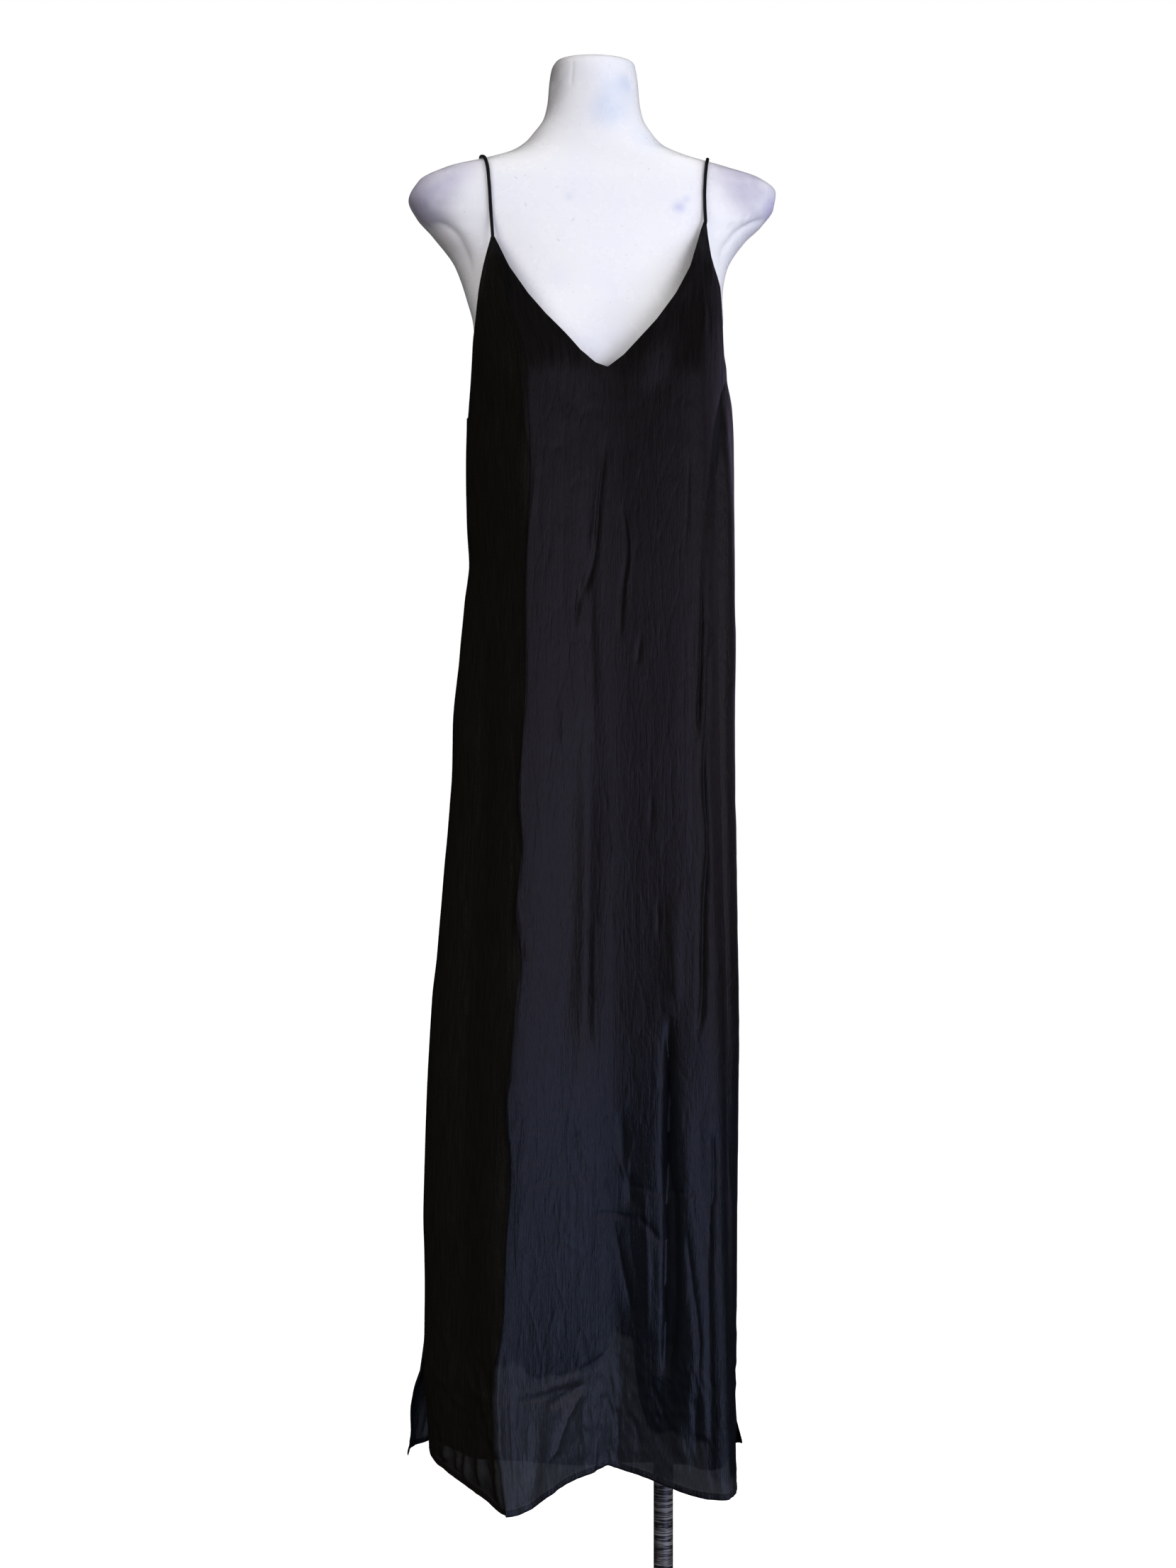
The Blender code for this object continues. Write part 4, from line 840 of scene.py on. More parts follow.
# The share of what is behind the satin that shows through it, and its tint.
SATIN_SHEERNESS = 0.008
SATIN_TINT = (0.78, 0.84, 1.0)
# How far aslant satin is seen where it begins and ceases to hide what is behind it.
SHEER_SLANT = (0.15, 0.72)
# Below the lining's hem the cloth is painted paler, as light showing through it, from this far over the hem
# to this far below it.
SHOW_THROUGH_START = (0.003, -0.004)
# The hem's rim and the ticks of its sewing look darker, up to these heights above its edge, where they fade.
HEM_RIM = (0.0012, 0.0024)
HEM_TICKS = (0.0055, 0.0085)
HEM_DARK = (0.0030, 0.0030, 0.0044)
# The black turns blue between these heights, from the upper one down: a painted reflection of cool light from
# below.
REFLECTION_BLUE_RISE = (0.560, 0.760)
# The panel's narrow side ends between these places across it. Its black is painted lighter and warmer, as
# fill light on that shaded side.
PAINTED_FILL_SIDE_END = (0.100, 0.125)


class Finish:
    """A node material: its Principled shader, and short ways to add textures to it."""

    def __init__(self, name, colour, roughness, metallic=0.0):
        self.material = bpy.data.materials.new(name)
        self.material.use_nodes = True
        self.tree = self.material.node_tree
        self.shader = self.tree.nodes["Principled BSDF"]
        self.set("Base Color", (*colour, 1.0))
        self.set("Roughness", roughness)
        self.set("Metallic", metallic)
        self.coordinates = self.tree.nodes.new("ShaderNodeTexCoord")
        self.normal = None

    def set(self, socket, value):
        self.shader.inputs[socket].default_value = value

    def link(self, source, target):
        self.tree.links.new(source, target)

    def mapped(self, space, scale):
        node = self.tree.nodes.new("ShaderNodeMapping")
        node.inputs["Scale"].default_value = scale
        self.link(self.coordinates.outputs[space], node.inputs["Vector"])
        return node.outputs["Vector"]

    def noise(self, space, scale, detail=2.0, roughness=0.5):
        """Noise with this many cells a metre along each axis."""
        node = self.tree.nodes.new("ShaderNodeTexNoise")
        node.inputs["Scale"].default_value = 1.0
        node.inputs["Detail"].default_value = detail
        node.inputs["Roughness"].default_value = roughness
        self.link(self.mapped(space, scale), node.inputs["Vector"])
        return node.outputs["Fac"]

    def place_in(self, layer, axis):
        """One coordinate of one of the piece's own layers of places: X across, Y up."""
        node = self.tree.nodes.new("ShaderNodeUVMap")
        node.uv_map = layer
        split = self.tree.nodes.new("ShaderNodeSeparateXYZ")
        self.link(node.outputs["UV"], split.inputs["Vector"])
        return split.outputs[axis]

    def crumple(self, space, scale, waver):
        """How far a place lies from the lines of an uneven net, whose lines waver by this many cells."""
        place = self.mapped(space, scale)
        drift = self.tree.nodes.new("ShaderNodeTexNoise")
        drift.inputs["Scale"].default_value = 1.7
        self.link(place, drift.inputs["Vector"])
        moved = self.tree.nodes.new("ShaderNodeVectorMath")
        moved.operation = "MULTIPLY_ADD"
        self.link(drift.outputs["Color"], moved.inputs[0])
        moved.inputs[1].default_value = (waver, waver, waver)
        self.link(place, moved.inputs[2])
        net = self.tree.nodes.new("ShaderNodeTexVoronoi")
        net.feature = "DISTANCE_TO_EDGE"
        net.inputs["Scale"].default_value = 1.0
        self.link(moved.outputs["Vector"], net.inputs["Vector"])
        return net.outputs["Distance"]

    def spread(self, value, low, high, to_low=0.0, to_high=1.0):
        node = self.tree.nodes.new("ShaderNodeMapRange")
        node.interpolation_type = "SMOOTHSTEP"
        self.link(value, node.inputs["Value"])
        for name, number in (("From Min", low), ("From Max", high), ("To Min", to_low), ("To Max", to_high)):
            node.inputs[name].default_value = number
        return node.outputs["Result"]

    def times(self, first, second):
        node = self.tree.nodes.new("ShaderNodeMath")
        node.operation = "MULTIPLY"
        self.link(first, node.inputs[0])
        self.link(second, node.inputs[1])
        return node.outputs["Value"]

    def blend(self, factor, first, second):
        """A colour that goes from the first to the second with the factor. Each is a colour or a socket."""
        node = self.tree.nodes.new("ShaderNodeMix")
        node.data_type = "RGBA"
        self.link(factor, node.inputs["Factor"])
        for name, colour in (("A", first), ("B", second)):
            socket = [entry for entry in node.inputs if entry.name == name and entry.type == "RGBA"][0]
            if isinstance(colour, tuple):
                socket.default_value = (*colour, 1.0)
            else:
                self.link(colour, socket)
        return [entry for entry in node.outputs if entry.type == "RGBA"][0]

    def streaked(self, value, low, high, first, second):
        """A colour that goes from the first to the second as the value goes from low to high."""
        return self.blend(self.spread(value, low, high), first, second)

    def near(self, place, radius):
        """One at a place of the object, falling softly to nought at the radius."""
        node = self.tree.nodes.new("ShaderNodeVectorMath")
        node.operation = "DISTANCE"
        self.link(self.coordinates.outputs["Object"], node.inputs[0])
        node.inputs[1].default_value = place
        return self.spread(node.outputs["Value"], 0.0, radius, 1.0, 0.0)

    def bump(self, height, strength, distance):
        node = self.tree.nodes.new("ShaderNodeBump")
        node.inputs["Strength"].default_value = strength
        node.inputs["Distance"].default_value = distance
        self.link(height, node.inputs["Height"])
        if self.normal is not None:
            self.link(self.normal, node.inputs["Normal"])
        self.normal = node.outputs["Normal"]

    def seen_flat(self):
        """One where the surface is seen straight on, nought where it is seen aslant."""
        slant = self.tree.nodes.new("ShaderNodeLayerWeight")
        slant.inputs["Blend"].default_value = 0.5
        return self.spread(slant.outputs["Facing"], *SHEER_SLANT, 1.0, 0.0)

    def pass_light(self, share, tint):
        """Lets this share of what is behind the surface show through it, and less where it is seen aslant."""
        clear = self.tree.nodes.new("ShaderNodeBsdfTransparent")
        self.link(self.blend(self.seen_flat(), (0.0, 0.0, 0.0), tint), clear.inputs["Color"])
        mix = self.tree.nodes.new("ShaderNodeMixShader")
        mix.inputs[0].default_value = share
        self.link(self.shader.outputs["BSDF"], mix.inputs[1])
        self.link(clear.outputs["BSDF"], mix.inputs[2])
        self.link(mix.outputs["Shader"], self.tree.nodes["Material Output"].inputs["Surface"])

    def done(self, colour=None, roughness=None):
        if colour is not None:
            self.link(colour, self.shader.inputs["Base Color"])
        if roughness is not None:
            self.link(roughness, self.shader.inputs["Roughness"])
        if self.normal is not None:
            self.link(self.normal, self.shader.inputs["Normal"])
        return self.material


def satin_material():
    """Black satin: upright slubs and crinkles, a net of short broken creases, and a soft glance, with painted
    light: a bluish reflection low down, paler show-through below the lining, and a lighter black on the
    shaded narrow side.
    """
    finish = Finish("crinkled_black_satin", (0.0062, 0.0057, 0.0050), 0.38)
    finish.set("Specular IOR Level", 0.40)
    finish.pass_light(SATIN_SHEERNESS, SATIN_TINT)
    streaks = finish.noise("UV", (520.0, 26.0, 1.0), 3.0, 0.6)
    fine = finish.noise("UV", (1400.0, 110.0, 1.0), 2.0, 0.6)
    slubs = finish.noise("UV", (210.0, 1300.0, 1.0), 2.0, 0.6)
    patches = finish.noise("UV", (24.0, 7.0, 1.0))
    threads = finish.noise("UV", (2600.0, 2600.0, 1.0), 1.0, 0.5)
    net = finish.crumple("UV", (58.0, 15.0, 1.0), 0.35)
    small_net = finish.crumple("UV", (150.0, 52.0, 1.0), 0.45)
    finish.bump(patches, 0.14, 0.004)
    finish.bump(finish.spread(net, 0.0, 0.12), 0.18, 0.0010)
    finish.bump(finish.spread(small_net, 0.0, 0.18), 0.20, 0.0005)
    finish.bump(streaks, 0.46, 0.0010)
    finish.bump(fine, 0.46, 0.0005)
    finish.bump(slubs, 0.40, 0.0004)
    finish.bump(threads, 0.16, 0.0002)
    tone = finish.streaked(streaks, 0.35, 0.70, *SATIN_BLACKS)
    # Painted reflection: the black turns bluish low down, where the cloth would mirror cool light from below.
    low = finish.spread(finish.place_in("cloth", "Y"), *REFLECTION_BLUE_RISE, 1.0, 0.0)
    tone = finish.blend(low, tone, SATIN_PAINTED_REFLECTION_BLUE)
    # Painted light showing through: paler below the lining's hem, flecked with the fine noise.
    painted_show_through = finish.spread(finish.place_in("sheer", "Y"), *SHOW_THROUGH_START)
    painted_show_through = finish.times(painted_show_through, finish.spread(fine, 0.30, 0.65, 0.40, 1.0))
    tone = finish.blend(painted_show_through, tone, SATIN_PAINTED_SHOW_THROUGH)
    ticks = finish.spread(finish.noise("UV", (620.0, 18.0, 1.0), 1.0, 0.5), 0.46, 0.60)
    above_hem = finish.place_in("hem", "Y")
    ticks = finish.times(finish.spread(above_hem, *HEM_TICKS, 0.75, 0.0), ticks)
    tone = finish.blend(ticks, tone, HEM_DARK)
    tone = finish.blend(finish.spread(above_hem, *HEM_RIM, 0.85, 0.0), tone, HEM_DARK)
    # Painted fill light: the shaded narrow side gets a lighter, warmer black than the front.
    side = finish.streaked(streaks, 0.35, 0.70, *SIDE_PAINTED_FILL_BLACKS)
    tone = finish.blend(finish.spread(finish.place_in("cloth", "X"), *PAINTED_FILL_SIDE_END), side, tone)
    return finish.done(tone, finish.spread(streaks, 0.30, 0.75, 0.30, 0.43))


def lining_material():
    """Dull black lining: a fine weave and faint upright folds."""
    finish = Finish("black_lining", (0.0050, 0.0050, 0.0058), 0.62)
    finish.set("Specular IOR Level", 0.22)
    weave = finish.noise("UV", (1800.0, 1800.0, 1.0))
    folds = finish.noise("UV", (90.0, 8.0, 1.0))
    finish.bump(folds, 0.25, 0.002)
    finish.bump(weave, 0.15, 0.0003)
    return finish.done(finish.streaked(weave, 0.3, 0.7, (0.0045, 0.0045, 0.0052), (0.0070, 0.0070, 0.0080)))


def strap_material():
    """Satin rolled into a cord, wrinkled across its length."""
    finish = Finish("rolled_satin", (0.0060, 0.0060, 0.0070), 0.42)
    finish.set("Specular IOR Level", 0.35)
    wrinkles = finish.noise("Object", (900.0, 900.0, 220.0))
    finish.bump(wrinkles, 0.30, 0.0004)
    tone = finish.streaked(wrinkles, 0.3, 0.7, (0.0050, 0.0050, 0.0060), (0.0085, 0.0085, 0.0100))
    return finish.done(tone)


def thread_material():
    finish = Finish("black_thread", (0.0100, 0.0100, 0.0120), 0.55)
    twist = finish.noise("Object", (3000.0, 3000.0, 3000.0), 1.0, 0.5)
    return finish.done(finish.blend(twist, (0.0070, 0.0070, 0.0085), (0.0140, 0.0140, 0.0165)))


# Stains on the shell, and painted shade where the neck's left side, the arm stubs' ends and the underarms
# turn from the light: place, radius, strength, colour.
STAINS_AND_PAINTED_SHADE = (
    ((0.020, -0.044, 1.648), 0.040, 0.55, (0.52, 0.60, 0.74)),
    ((0.028, -0.038, 1.664), 0.018, 0.40, (0.50, 0.58, 0.76)),
    ((0.005, -0.046, 1.632), 0.034, 0.42, (0.52, 0.60, 0.76)),
    ((0.052, -0.040, 1.610), 0.036, 0.25, (0.60, 0.68, 0.86)),
    # Painted shade: grey on the neck's left side and shoulder slope, which turn away from the light.
    ((-0.056, -0.004, 1.672), 0.056, 1.00, (0.32, 0.31, 0.32)),
    ((-0.060, -0.006, 1.640), 0.044, 0.75, (0.40, 0.39, 0.40)),
    ((-0.074, -0.010, 1.610), 0.046, 0.60, (0.48, 0.47, 0.48)),
    # Partly a lavender stain, partly painted shade: the left arm stub's outer end, turned from the light.
    ((-0.192, -0.020, 1.534), 0.070, 1.00, (0.32, 0.30, 0.38)),
    ((-0.176, -0.040, 1.560), 0.054, 0.80, (0.46, 0.44, 0.58)),
    ((-0.145, -0.030, 1.580), 0.048, 0.55, (0.54, 0.52, 0.66)),
    ((-0.150, -0.052, 1.556), 0.012, 0.70, (0.38, 0.34, 0.60)),
    # Painted shade: warm grey under the left arm stub.
    ((-0.165, -0.020, 1.478), 0.060, 0.60, (0.56, 0.53, 0.50)),
    # Partly a lavender stain, partly painted shade: the right arm stub's end, turned from the light.
    ((0.164, -0.040, 1.566), 0.070, 1.00, (0.44, 0.42, 0.53)),
    ((0.140, -0.040, 1.582), 0.050, 0.75, (0.50, 0.48, 0.58)),
    ((0.192, -0.020, 1.540), 0.044, 0.75, (0.40, 0.38, 0.60)),
    # Painted shade in the right armpit.
    ((0.158, -0.030, 1.500), 0.034, 0.25, (0.58, 0.56, 0.66)),
    ((-0.036, -0.062, 1.539), 0.012, 0.60, (0.50, 0.58, 0.70)),
    ((-0.031, -0.062, 1.545), 0.010, 0.70, (0.50, 0.58, 0.70)),
    ((0.079, -0.060, 1.532), 0.015, 0.80, (0.48, 0.51, 0.72)),
    ((0.088, -0.058, 1.541), 0.010, 0.80, (0.50, 0.54, 0.78)),
    ((0.0074, -0.088, 1.4716), 0.007, 1.00, (0.40, 0.38, 0.56)),
    ((-0.0149, -0.090, 1.4559), 0.007, 0.90, (0.44, 0.42, 0.60)),
    ((-0.0231, -0.090, 1.4406), 0.006, 0.80, (0.44, 0.42, 0.58)),
    ((0.0276, -0.090, 1.4341), 0.006, 0.80, (0.44, 0.42, 0.58)),
    ((-0.050, -0.086, 1.456), 0.030, 0.15, (0.58, 0.56, 0.80)),
)
SMALL_STAIN = 0.015


def shell_material():
    """Glossy white shell with faint blue and lavender stains, scuffs, a soft mottle, and painted shade on the
    neck's left side, the arm stubs' ends and under the arms.
    """
    finish = Finish("glossy_white_shell", (0.80, 0.80, 0.82), 0.26)
    finish.set("Specular IOR Level", 0.45)
    finish.set("Coat Weight", 0.20)
    finish.set("Coat Roughness", 0.12)
    mottle = finish.noise("Object", (9.0, 9.0, 7.0), 4.0, 0.6)
    blotches = finish.noise("Object", (46.0, 46.0, 38.0), 4.0, 0.65)
    clouds = finish.noise("Object", (26.0, 26.0, 26.0))
    scuffs = finish.noise("Object", (60.0, 60.0, 420.0), 3.0, 0.6)
    specks = finish.noise("Object", (190.0, 190.0, 190.0))
    tone = finish.streaked(mottle, 0.35, 0.75, (0.815, 0.815, 0.830), (0.765, 0.780, 0.850))
    soft = finish.spread(clouds, 0.20, 0.55, 0.55, 1.0)
    ragged = finish.spread(blotches, 0.36, 0.62)
    for place, radius, strength, colour in STAINS_AND_PAINTED_SHADE:
        wide = radius > SMALL_STAIN
        mask = finish.times(finish.near(place, radius), soft if wide else ragged)
        mask = finish.spread(mask, 0.0, 1.0, 0.0, strength)
        tone = finish.blend(mask, tone, colour)
    tone = finish.blend(finish.spread(scuffs, 0.66, 0.76, 0.0, 0.25), tone, (0.62, 0.60, 0.66))
    tone = finish.blend(finish.spread(specks, 0.71, 0.76, 0.0, 0.45), tone, (0.50, 0.48, 0.60))
    finish.bump(mottle, 0.08, 0.006)
    finish.bump(scuffs, 0.05, 0.0008)
    return finish.done(tone, finish.spread(blotches, 0.30, 0.75, 0.20, 0.34))


def worn_steel_material():
    """Dark metal with close level scratches round it, rubbed paler in streaks."""
    finish = Finish("worn_dark_steel", (0.070, 0.066, 0.070), 0.40, 0.20)
    rings = finish.noise("Object", (9.0, 9.0, 430.0), 3.0, 0.7)
    scratches = finish.noise("Object", (60.0, 60.0, 1300.0), 2.0, 0.6)
    wear = finish.noise("Object", (26.0, 26.0, 14.0), 3.0, 0.6)
    rubbed = finish.times(finish.spread(rings, 0.47, 0.55), finish.spread(wear, 0.30, 0.55))
    tone = finish.blend(rubbed, (0.018, 0.016, 0.016), (0.200, 0.192, 0.196))
    tone = finish.blend(finish.spread(scratches, 0.56, 0.66, 0.0, 0.7), tone, (0.320, 0.312, 0.326))
    finish.bump(rings, 0.30, 0.0008)
    finish.bump(scratches, 0.25, 0.0003)
    return finish.done(tone, finish.spread(rings, 0.35, 0.70, 0.30, 0.55))


def base_material():
    """Brushed pale metal with a few darker marks."""
    finish = Finish("brushed_base", (0.50, 0.50, 0.51), 0.34, 1.0)
    brushing = finish.noise("Object", (8.0, 900.0, 8.0), 3.0, 0.6)
    marks = finish.noise("Object", (30.0, 30.0, 30.0), 4.0, 0.6)
    tone = finish.streaked(brushing, 0.35, 0.70, (0.42, 0.42, 0.43), (0.58, 0.58, 0.59))
    tone = finish.blend(finish.spread(marks, 0.62, 0.72, 0.0, 0.5), tone, (0.30, 0.30, 0.30))
    finish.bump(brushing, 0.15, 0.0003)
    return finish.done(tone, finish.spread(marks, 0.35, 0.75, 0.28, 0.44))


def floor_material():
    """A pale floor that glows faintly, so that it runs into the white surround without a line."""
    finish = Finish("pale_floor", (0.86, 0.86, 0.86), 0.65)
    finish.set("Specular IOR Level", 0.2)
    finish.set("Emission Color", (1.0, 1.0, 1.0, 1.0))
    finish.set("Emission Strength", FLOOR_GLOW)
    cloud = finish.noise("Object", (0.8, 0.8, 0.8))
    return finish.done(finish.blend(cloud, (0.85, 0.85, 0.85), (0.88, 0.88, 0.88)))


# ---- The form ----


def bust_swell(x, height):
    spread_up = np.where(height > BUST_HEIGHT, BUST_ABOVE, BUST_BELOW)
    across = (np.abs(x) - BUST_SPACING) / BUST_SPREAD
    up = (height - BUST_HEIGHT) / spread_up
    return BUST_SWELL * np.exp(-(across**2) - up**2)


def form_grid():
    """The form's surface as rings of points that climb, close together where the form turns in."""
    sections = SmoothTable(FORM_SECTIONS)
    heights = [FORM_SECTIONS[0][0]]
    for low, high in zip(FORM_SECTIONS, FORM_SECTIONS[1:]):
        run = math.hypot(high[0] - low[0], high[1] - low[1])
        steps = max(2, round(run * FORM_ROWS_PER_METRE[low[0] >= FORM_SHOWS]))
        heights += [low[0] + (high[0] - low[0]) * step / steps for step in range(1, steps + 1)]
    height = np.array(heights)[:, None]
    section = sections.at(np.array(heights)).T
    half_width, lean, front, back, squareness = (column[..., None] for column in section)
    angle = 2 * math.pi * np.arange(FORM_COLUMNS)[None, :] / FORM_COLUMNS
    along, across = np.cos(angle), np.sin(angle)
    x = half_width * np.sign(along) * np.abs(along) ** (2 / squareness)
    depth = np.where(across > 0, back, front)
    y = depth * np.sign(across) * np.abs(across) ** (2 / squareness)
    swell = bust_swell(x, height) * np.minimum(1.0, BUST_SIDE_FADE * np.abs(across))
    y = np.where(across < 0, y - swell, y)
    return np.stack([x + lean, y, np.broadcast_to(height, x.shape)], axis=2)


def make_form():
    """The form's shell with its grooves. Returns its surface, for what lies on it."""
    grid = form_grid()
    closed = np.concatenate([grid[:, -1:], grid, grid[:, :1]], axis=1)
    normals = grid_normals(closed)[:, 1:-1]
    grooves = [(half_width, depth, GROOVE_SHARPNESS, route) for half_width, depth, route in FORM_GROOVES]
    groove = np.where(grid[..., 1] < 0, crease_field(grid[..., 0], grid[..., 2], grooves), 0.0)
    grid = grid - normals * groove[..., None]
    rows, columns = grid.shape[:2]
    faces = grid_faces(rows, columns, closed=True)
    faces.append(tuple(reversed(range(columns))))
    faces.append(tuple(range((rows - 1) * columns, rows * columns)))
    points = grid.reshape(-1, 3)
    piece = add_piece("form_shell", points, faces, shell_material(), FORM_ANGLE)
    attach(piece, "root")
    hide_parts("dress_form")
    return BVHTree.FromPolygons([Vector(point) for point in points], faces)


# ---- The cloth ----


def gap_to(form, point, *reach):
    """The form's nearest direction outward, and how far the point lies off it, below nought inside."""
    nearest, normal, _, distance = form.find_nearest(point, *reach)
    if nearest is None:
        return None, None
    return normal, distance if (point - nearest).dot(normal) >= 0 else -distance


def clear_of(form, grid, clearance):
    """The grid with its points moved level, softly, where they come nearer to the form than the clearance."""
    moved = grid.copy()
    flat = moved.reshape(-1, 3)
    for index, point in enumerate(grid.reshape(-1, 3)):
        normal, gap = gap_to(form, Vector(point), clearance + CONTACT_REACH)
        if normal is None:
            continue
        lack = (clearance - gap) / CONTACT_SOFTNESS
        level = math.hypot(normal.x, normal.y)
        if lack > CONTACT_NIL and level > LEAST_LEVEL:
            push = clearance - gap
            if lack < CONTACT_FULL:
                push = CONTACT_SOFTNESS * math.log1p(math.exp(lack))
            flat[index, 0] += push * normal.x / level
            flat[index, 1] += push * normal.y / level
    return moved


class Cloth:
    """The tube of cloth: its ring at each height, its folds, and the panels cut from it."""

    def __init__(self, form):
        self.form = form
        self.rails = SmoothTable(RAILS)
        self.hems = {panel: SmoothTable(rows) for panel, rows in HEMS.items()}
        self.lining_hems = {panel: SmoothTable(rows) for panel, rows in LINING_HEMS.items()}
        self.sheer_hems = {panel: SmoothTable(rows) for panel, rows in SHEER_HEMS.items()}
        self.stand_off = SmoothTable(LINING_STAND_OFF)
        self.corner_waver = SmoothTable(CORNER_WAVER)
        self.side_waver = SmoothTable(SIDE_WAVER)

    def ring_point(self, turn, height):
        """Points of the smooth ring. The turn counts rails from the left seam, all round."""
        rails = self.rails.at(height)
        rails = rails.reshape(*rails.shape[:-1], RAIL_COUNT, 2)
        turn = np.mod(turn, RAIL_COUNT)
        rail = turn.astype(int) % RAIL_COUNT
        part = (turn - rail)[..., None]

        def rail_at(index):
            return np.take_along_axis(rails, (index % RAIL_COUNT)[..., None, None], axis=-2)[..., 0, :]

        roundness = np.array(RAIL_ROUNDNESS)
        start, end = rail_at(rail), rail_at(rail + 1)
        leave = roundness[rail][..., None] * (end - rail_at(rail - 1))
        arrive = roundness[(rail + 1) % RAIL_COUNT][..., None] * (rail_at(rail + 2) - start)
        return hermite(part, start, end, leave, arrive)

    def swing(self, panel, across, height):
        """How far the slits let the panel's free edges swing, as x and y."""
        fall = np.maximum((SLIT_TOP - height) / (SLIT_TOP - SLIT_FOOT), 0.0)
        total = np.zeros((*across.shape, 2))
        for side in (0, 1):
            away = np.abs(across - side) * SLIT_WIDTH / SLIT_REACH
            total += np.array(SLIT_SWING[panel, side]) * (fall * np.exp(-(away**2)))[..., None]
            if (panel, side) in FLAP_BULGE:
                out, middle, reach = FLAP_BULGE[panel, side]
                total[..., 0] += out * np.exp(-(((height - middle) / reach) ** 2) - away**2)
        return total

    def smooth_point(self, panel, across, height):
        """Points of the cloth without folds, and the level directions out of it."""
        turn = PANEL_RAILS * across + (PANEL_RAILS if panel == "back" else 0)
        place = self.ring_point(turn, height)
        along = self.ring_point(turn + RING_STEP, height) - self.ring_point(turn - RING_STEP, height)
        outward = np.stack([along[..., 1], -along[..., 0]], axis=-1)
        outward /= np.linalg.norm(outward, axis=-1, keepdims=True)
        place = place + self.swing(panel, across, height)
        waver = self.side_waver.at(height)
        from_left = across if panel == "front" else 1 - across
        place[..., 0] -= waver[..., 0] * np.exp(-((from_left / SIDE_WAVER_REACH) ** 2))
        place[..., 0] += waver[..., 1] * np.exp(-(((1 - from_left) / SIDE_WAVER_REACH) ** 2))
        if panel == "front":
            near_corner = np.exp(-(((across - CORNER_PLACE) / CORNER_WAVER_REACH) ** 2))
            place[..., 0] += self.corner_waver.at(height)[..., 0] * near_corner
            place = place + outward * self.gape(across, height, place[..., 0])[..., None]
        return place, outward

    def gape(self, across, height, x):
        """How far the front stands off the chest along its neckline."""
        top = np.interp(x, *np.array(TOP_EDGES["front"]).T)
        off = sum(depth * np.exp(-(((across - place) / reach) ** 2)) for place, reach, depth in NECKLINE_GAPE)
        return off * smooth_step((height - top + GAPE_DOWN) / GAPE_DOWN)

    def fold_depth(self, panel, across, height):
        """How far the large folds move the cloth outward."""
        total = np.zeros(across.shape)
        for top_across, foot_across, top, foot, half_width, depth in FOLDS[panel]:
            part = np.clip((top - height) / (top - foot), 0.0, 1.0)
            middle = top_across + (foot_across - top_across) * part
            come_in = smooth_step((top - height) / FOLD_FADE)
            fade = come_in * smooth_step((height - foot) / FOLD_FADE + FOLD_FOOT)
            total += depth * fade * np.exp(-(((across - middle) / half_width) ** 2))
        return total

    def outer_grid(self, panel, across, height):
        """The panel's outer face, folded, and clear of the form with room for its lining."""
        place, outward = self.smooth_point(panel, across, height)
        place = place + outward * self.fold_depth(panel, across, height)[..., None]
        grid = np.concatenate([place, height[..., None]], axis=-1)
        return clear_of(self.form, grid, CLOTH + LAYER_GAP + LINING_CLOTH + FORM_GAP)

    def lining_grid(self, panel, across, height, top):
        """The lining's face, inside the panel's cloth, and nearer to it along the top edge."""
        near_edge = smooth_step((height - top + EDGE_TUCK_REACH) / EDGE_TUCK_REACH)
        tuck = (LAYER_GAP - EDGE_LAYER_GAP) * near_edge
        place, outward = self.smooth_point(panel, across, height)
        place = place - outward * (CLOTH + self.stand_off.at(height)[..., 0] - tuck)[..., None]
        grid = np.concatenate([place, height[..., None]], axis=-1)
        return clear_of(self.form, grid, LINING_CLOTH + FORM_GAP)

    def top_of(self, panel, across):
        """The heights at which these columns meet the panel's top edge."""
        edge_x, edge_height = np.array(TOP_EDGES[panel]).T
        low = np.full(across.shape, EDGE_SEARCH[0])
        high = np.full(across.shape, EDGE_SEARCH[1])
        for _ in range(EDGE_HALVINGS):
            middle = (low + high) / 2
            x = self.outer_grid(panel, across, middle)[..., 0]
            below = np.interp(x, edge_x, edge_height) > middle
            low = np.where(below, middle, low)
            high = np.where(below, high, middle)
        return low


def spaced(first, last, near_first, near_last, count, closeness):
    """Places from first to last: these steps in from each end, and this many between, as close as is told."""
    start = [first + step for step in near_first]
    end = [last - step for step in reversed(near_last)]
    share = np.linspace(0.0, 1.0, SPACING_STEPS)
    run = np.cumsum(np.interp(share, *np.array(closeness).T))
    run = (run - run[0]) / (run[-1] - run[0])
    part = np.interp(np.linspace(0.0, 1.0, count + 2)[1:-1], run, share)
    middle = [start[-1] + (end[0] - start[-1]) * place for place in part]
    return np.array(start + middle + end)


def panel_columns(count, closeness):
    """Places across a panel, from just inside one side seam to just inside the other."""
    steps = np.array(EDGE_STEPS) / PANEL_WIDTH
    return spaced(SEAM_INSET, 1 - SEAM_INSET, steps, steps, count, closeness)


def turned_under(count, first_band, last_band, depth):
    """Which lines of a face its cloth has, and how far inside the face: its edges are turned and run back."""
    face = np.arange(count)
    first, last = face[1 : first_band + 1][::-1], face[-last_band - 1 : -1][::-1]
    order = np.concatenate([first, face, last])
    inside = np.zeros(len(order))
    inside[: len(first)] = depth
    inside[len(inside) - len(last) :] = depth
    inside[len(first)] = inside[len(first) + count - 1] = depth / 2
    return order, inside


def turn_edges(face, normals, bands, depth):
    """The face's grid with all four of its edges turned to the inside. Bands are foot, top and side."""
    foot, top, side = bands
    rows, row_inside = turned_under(face.shape[0], foot, top, depth)
    columns, column_inside = turned_under(face.shape[1], side, side, depth)
    inside = np.maximum(row_inside[:, None], column_inside[None, :])
    pick = np.ix_(rows, columns)
    return face[pick] - normals[pick] * inside[..., None], pick


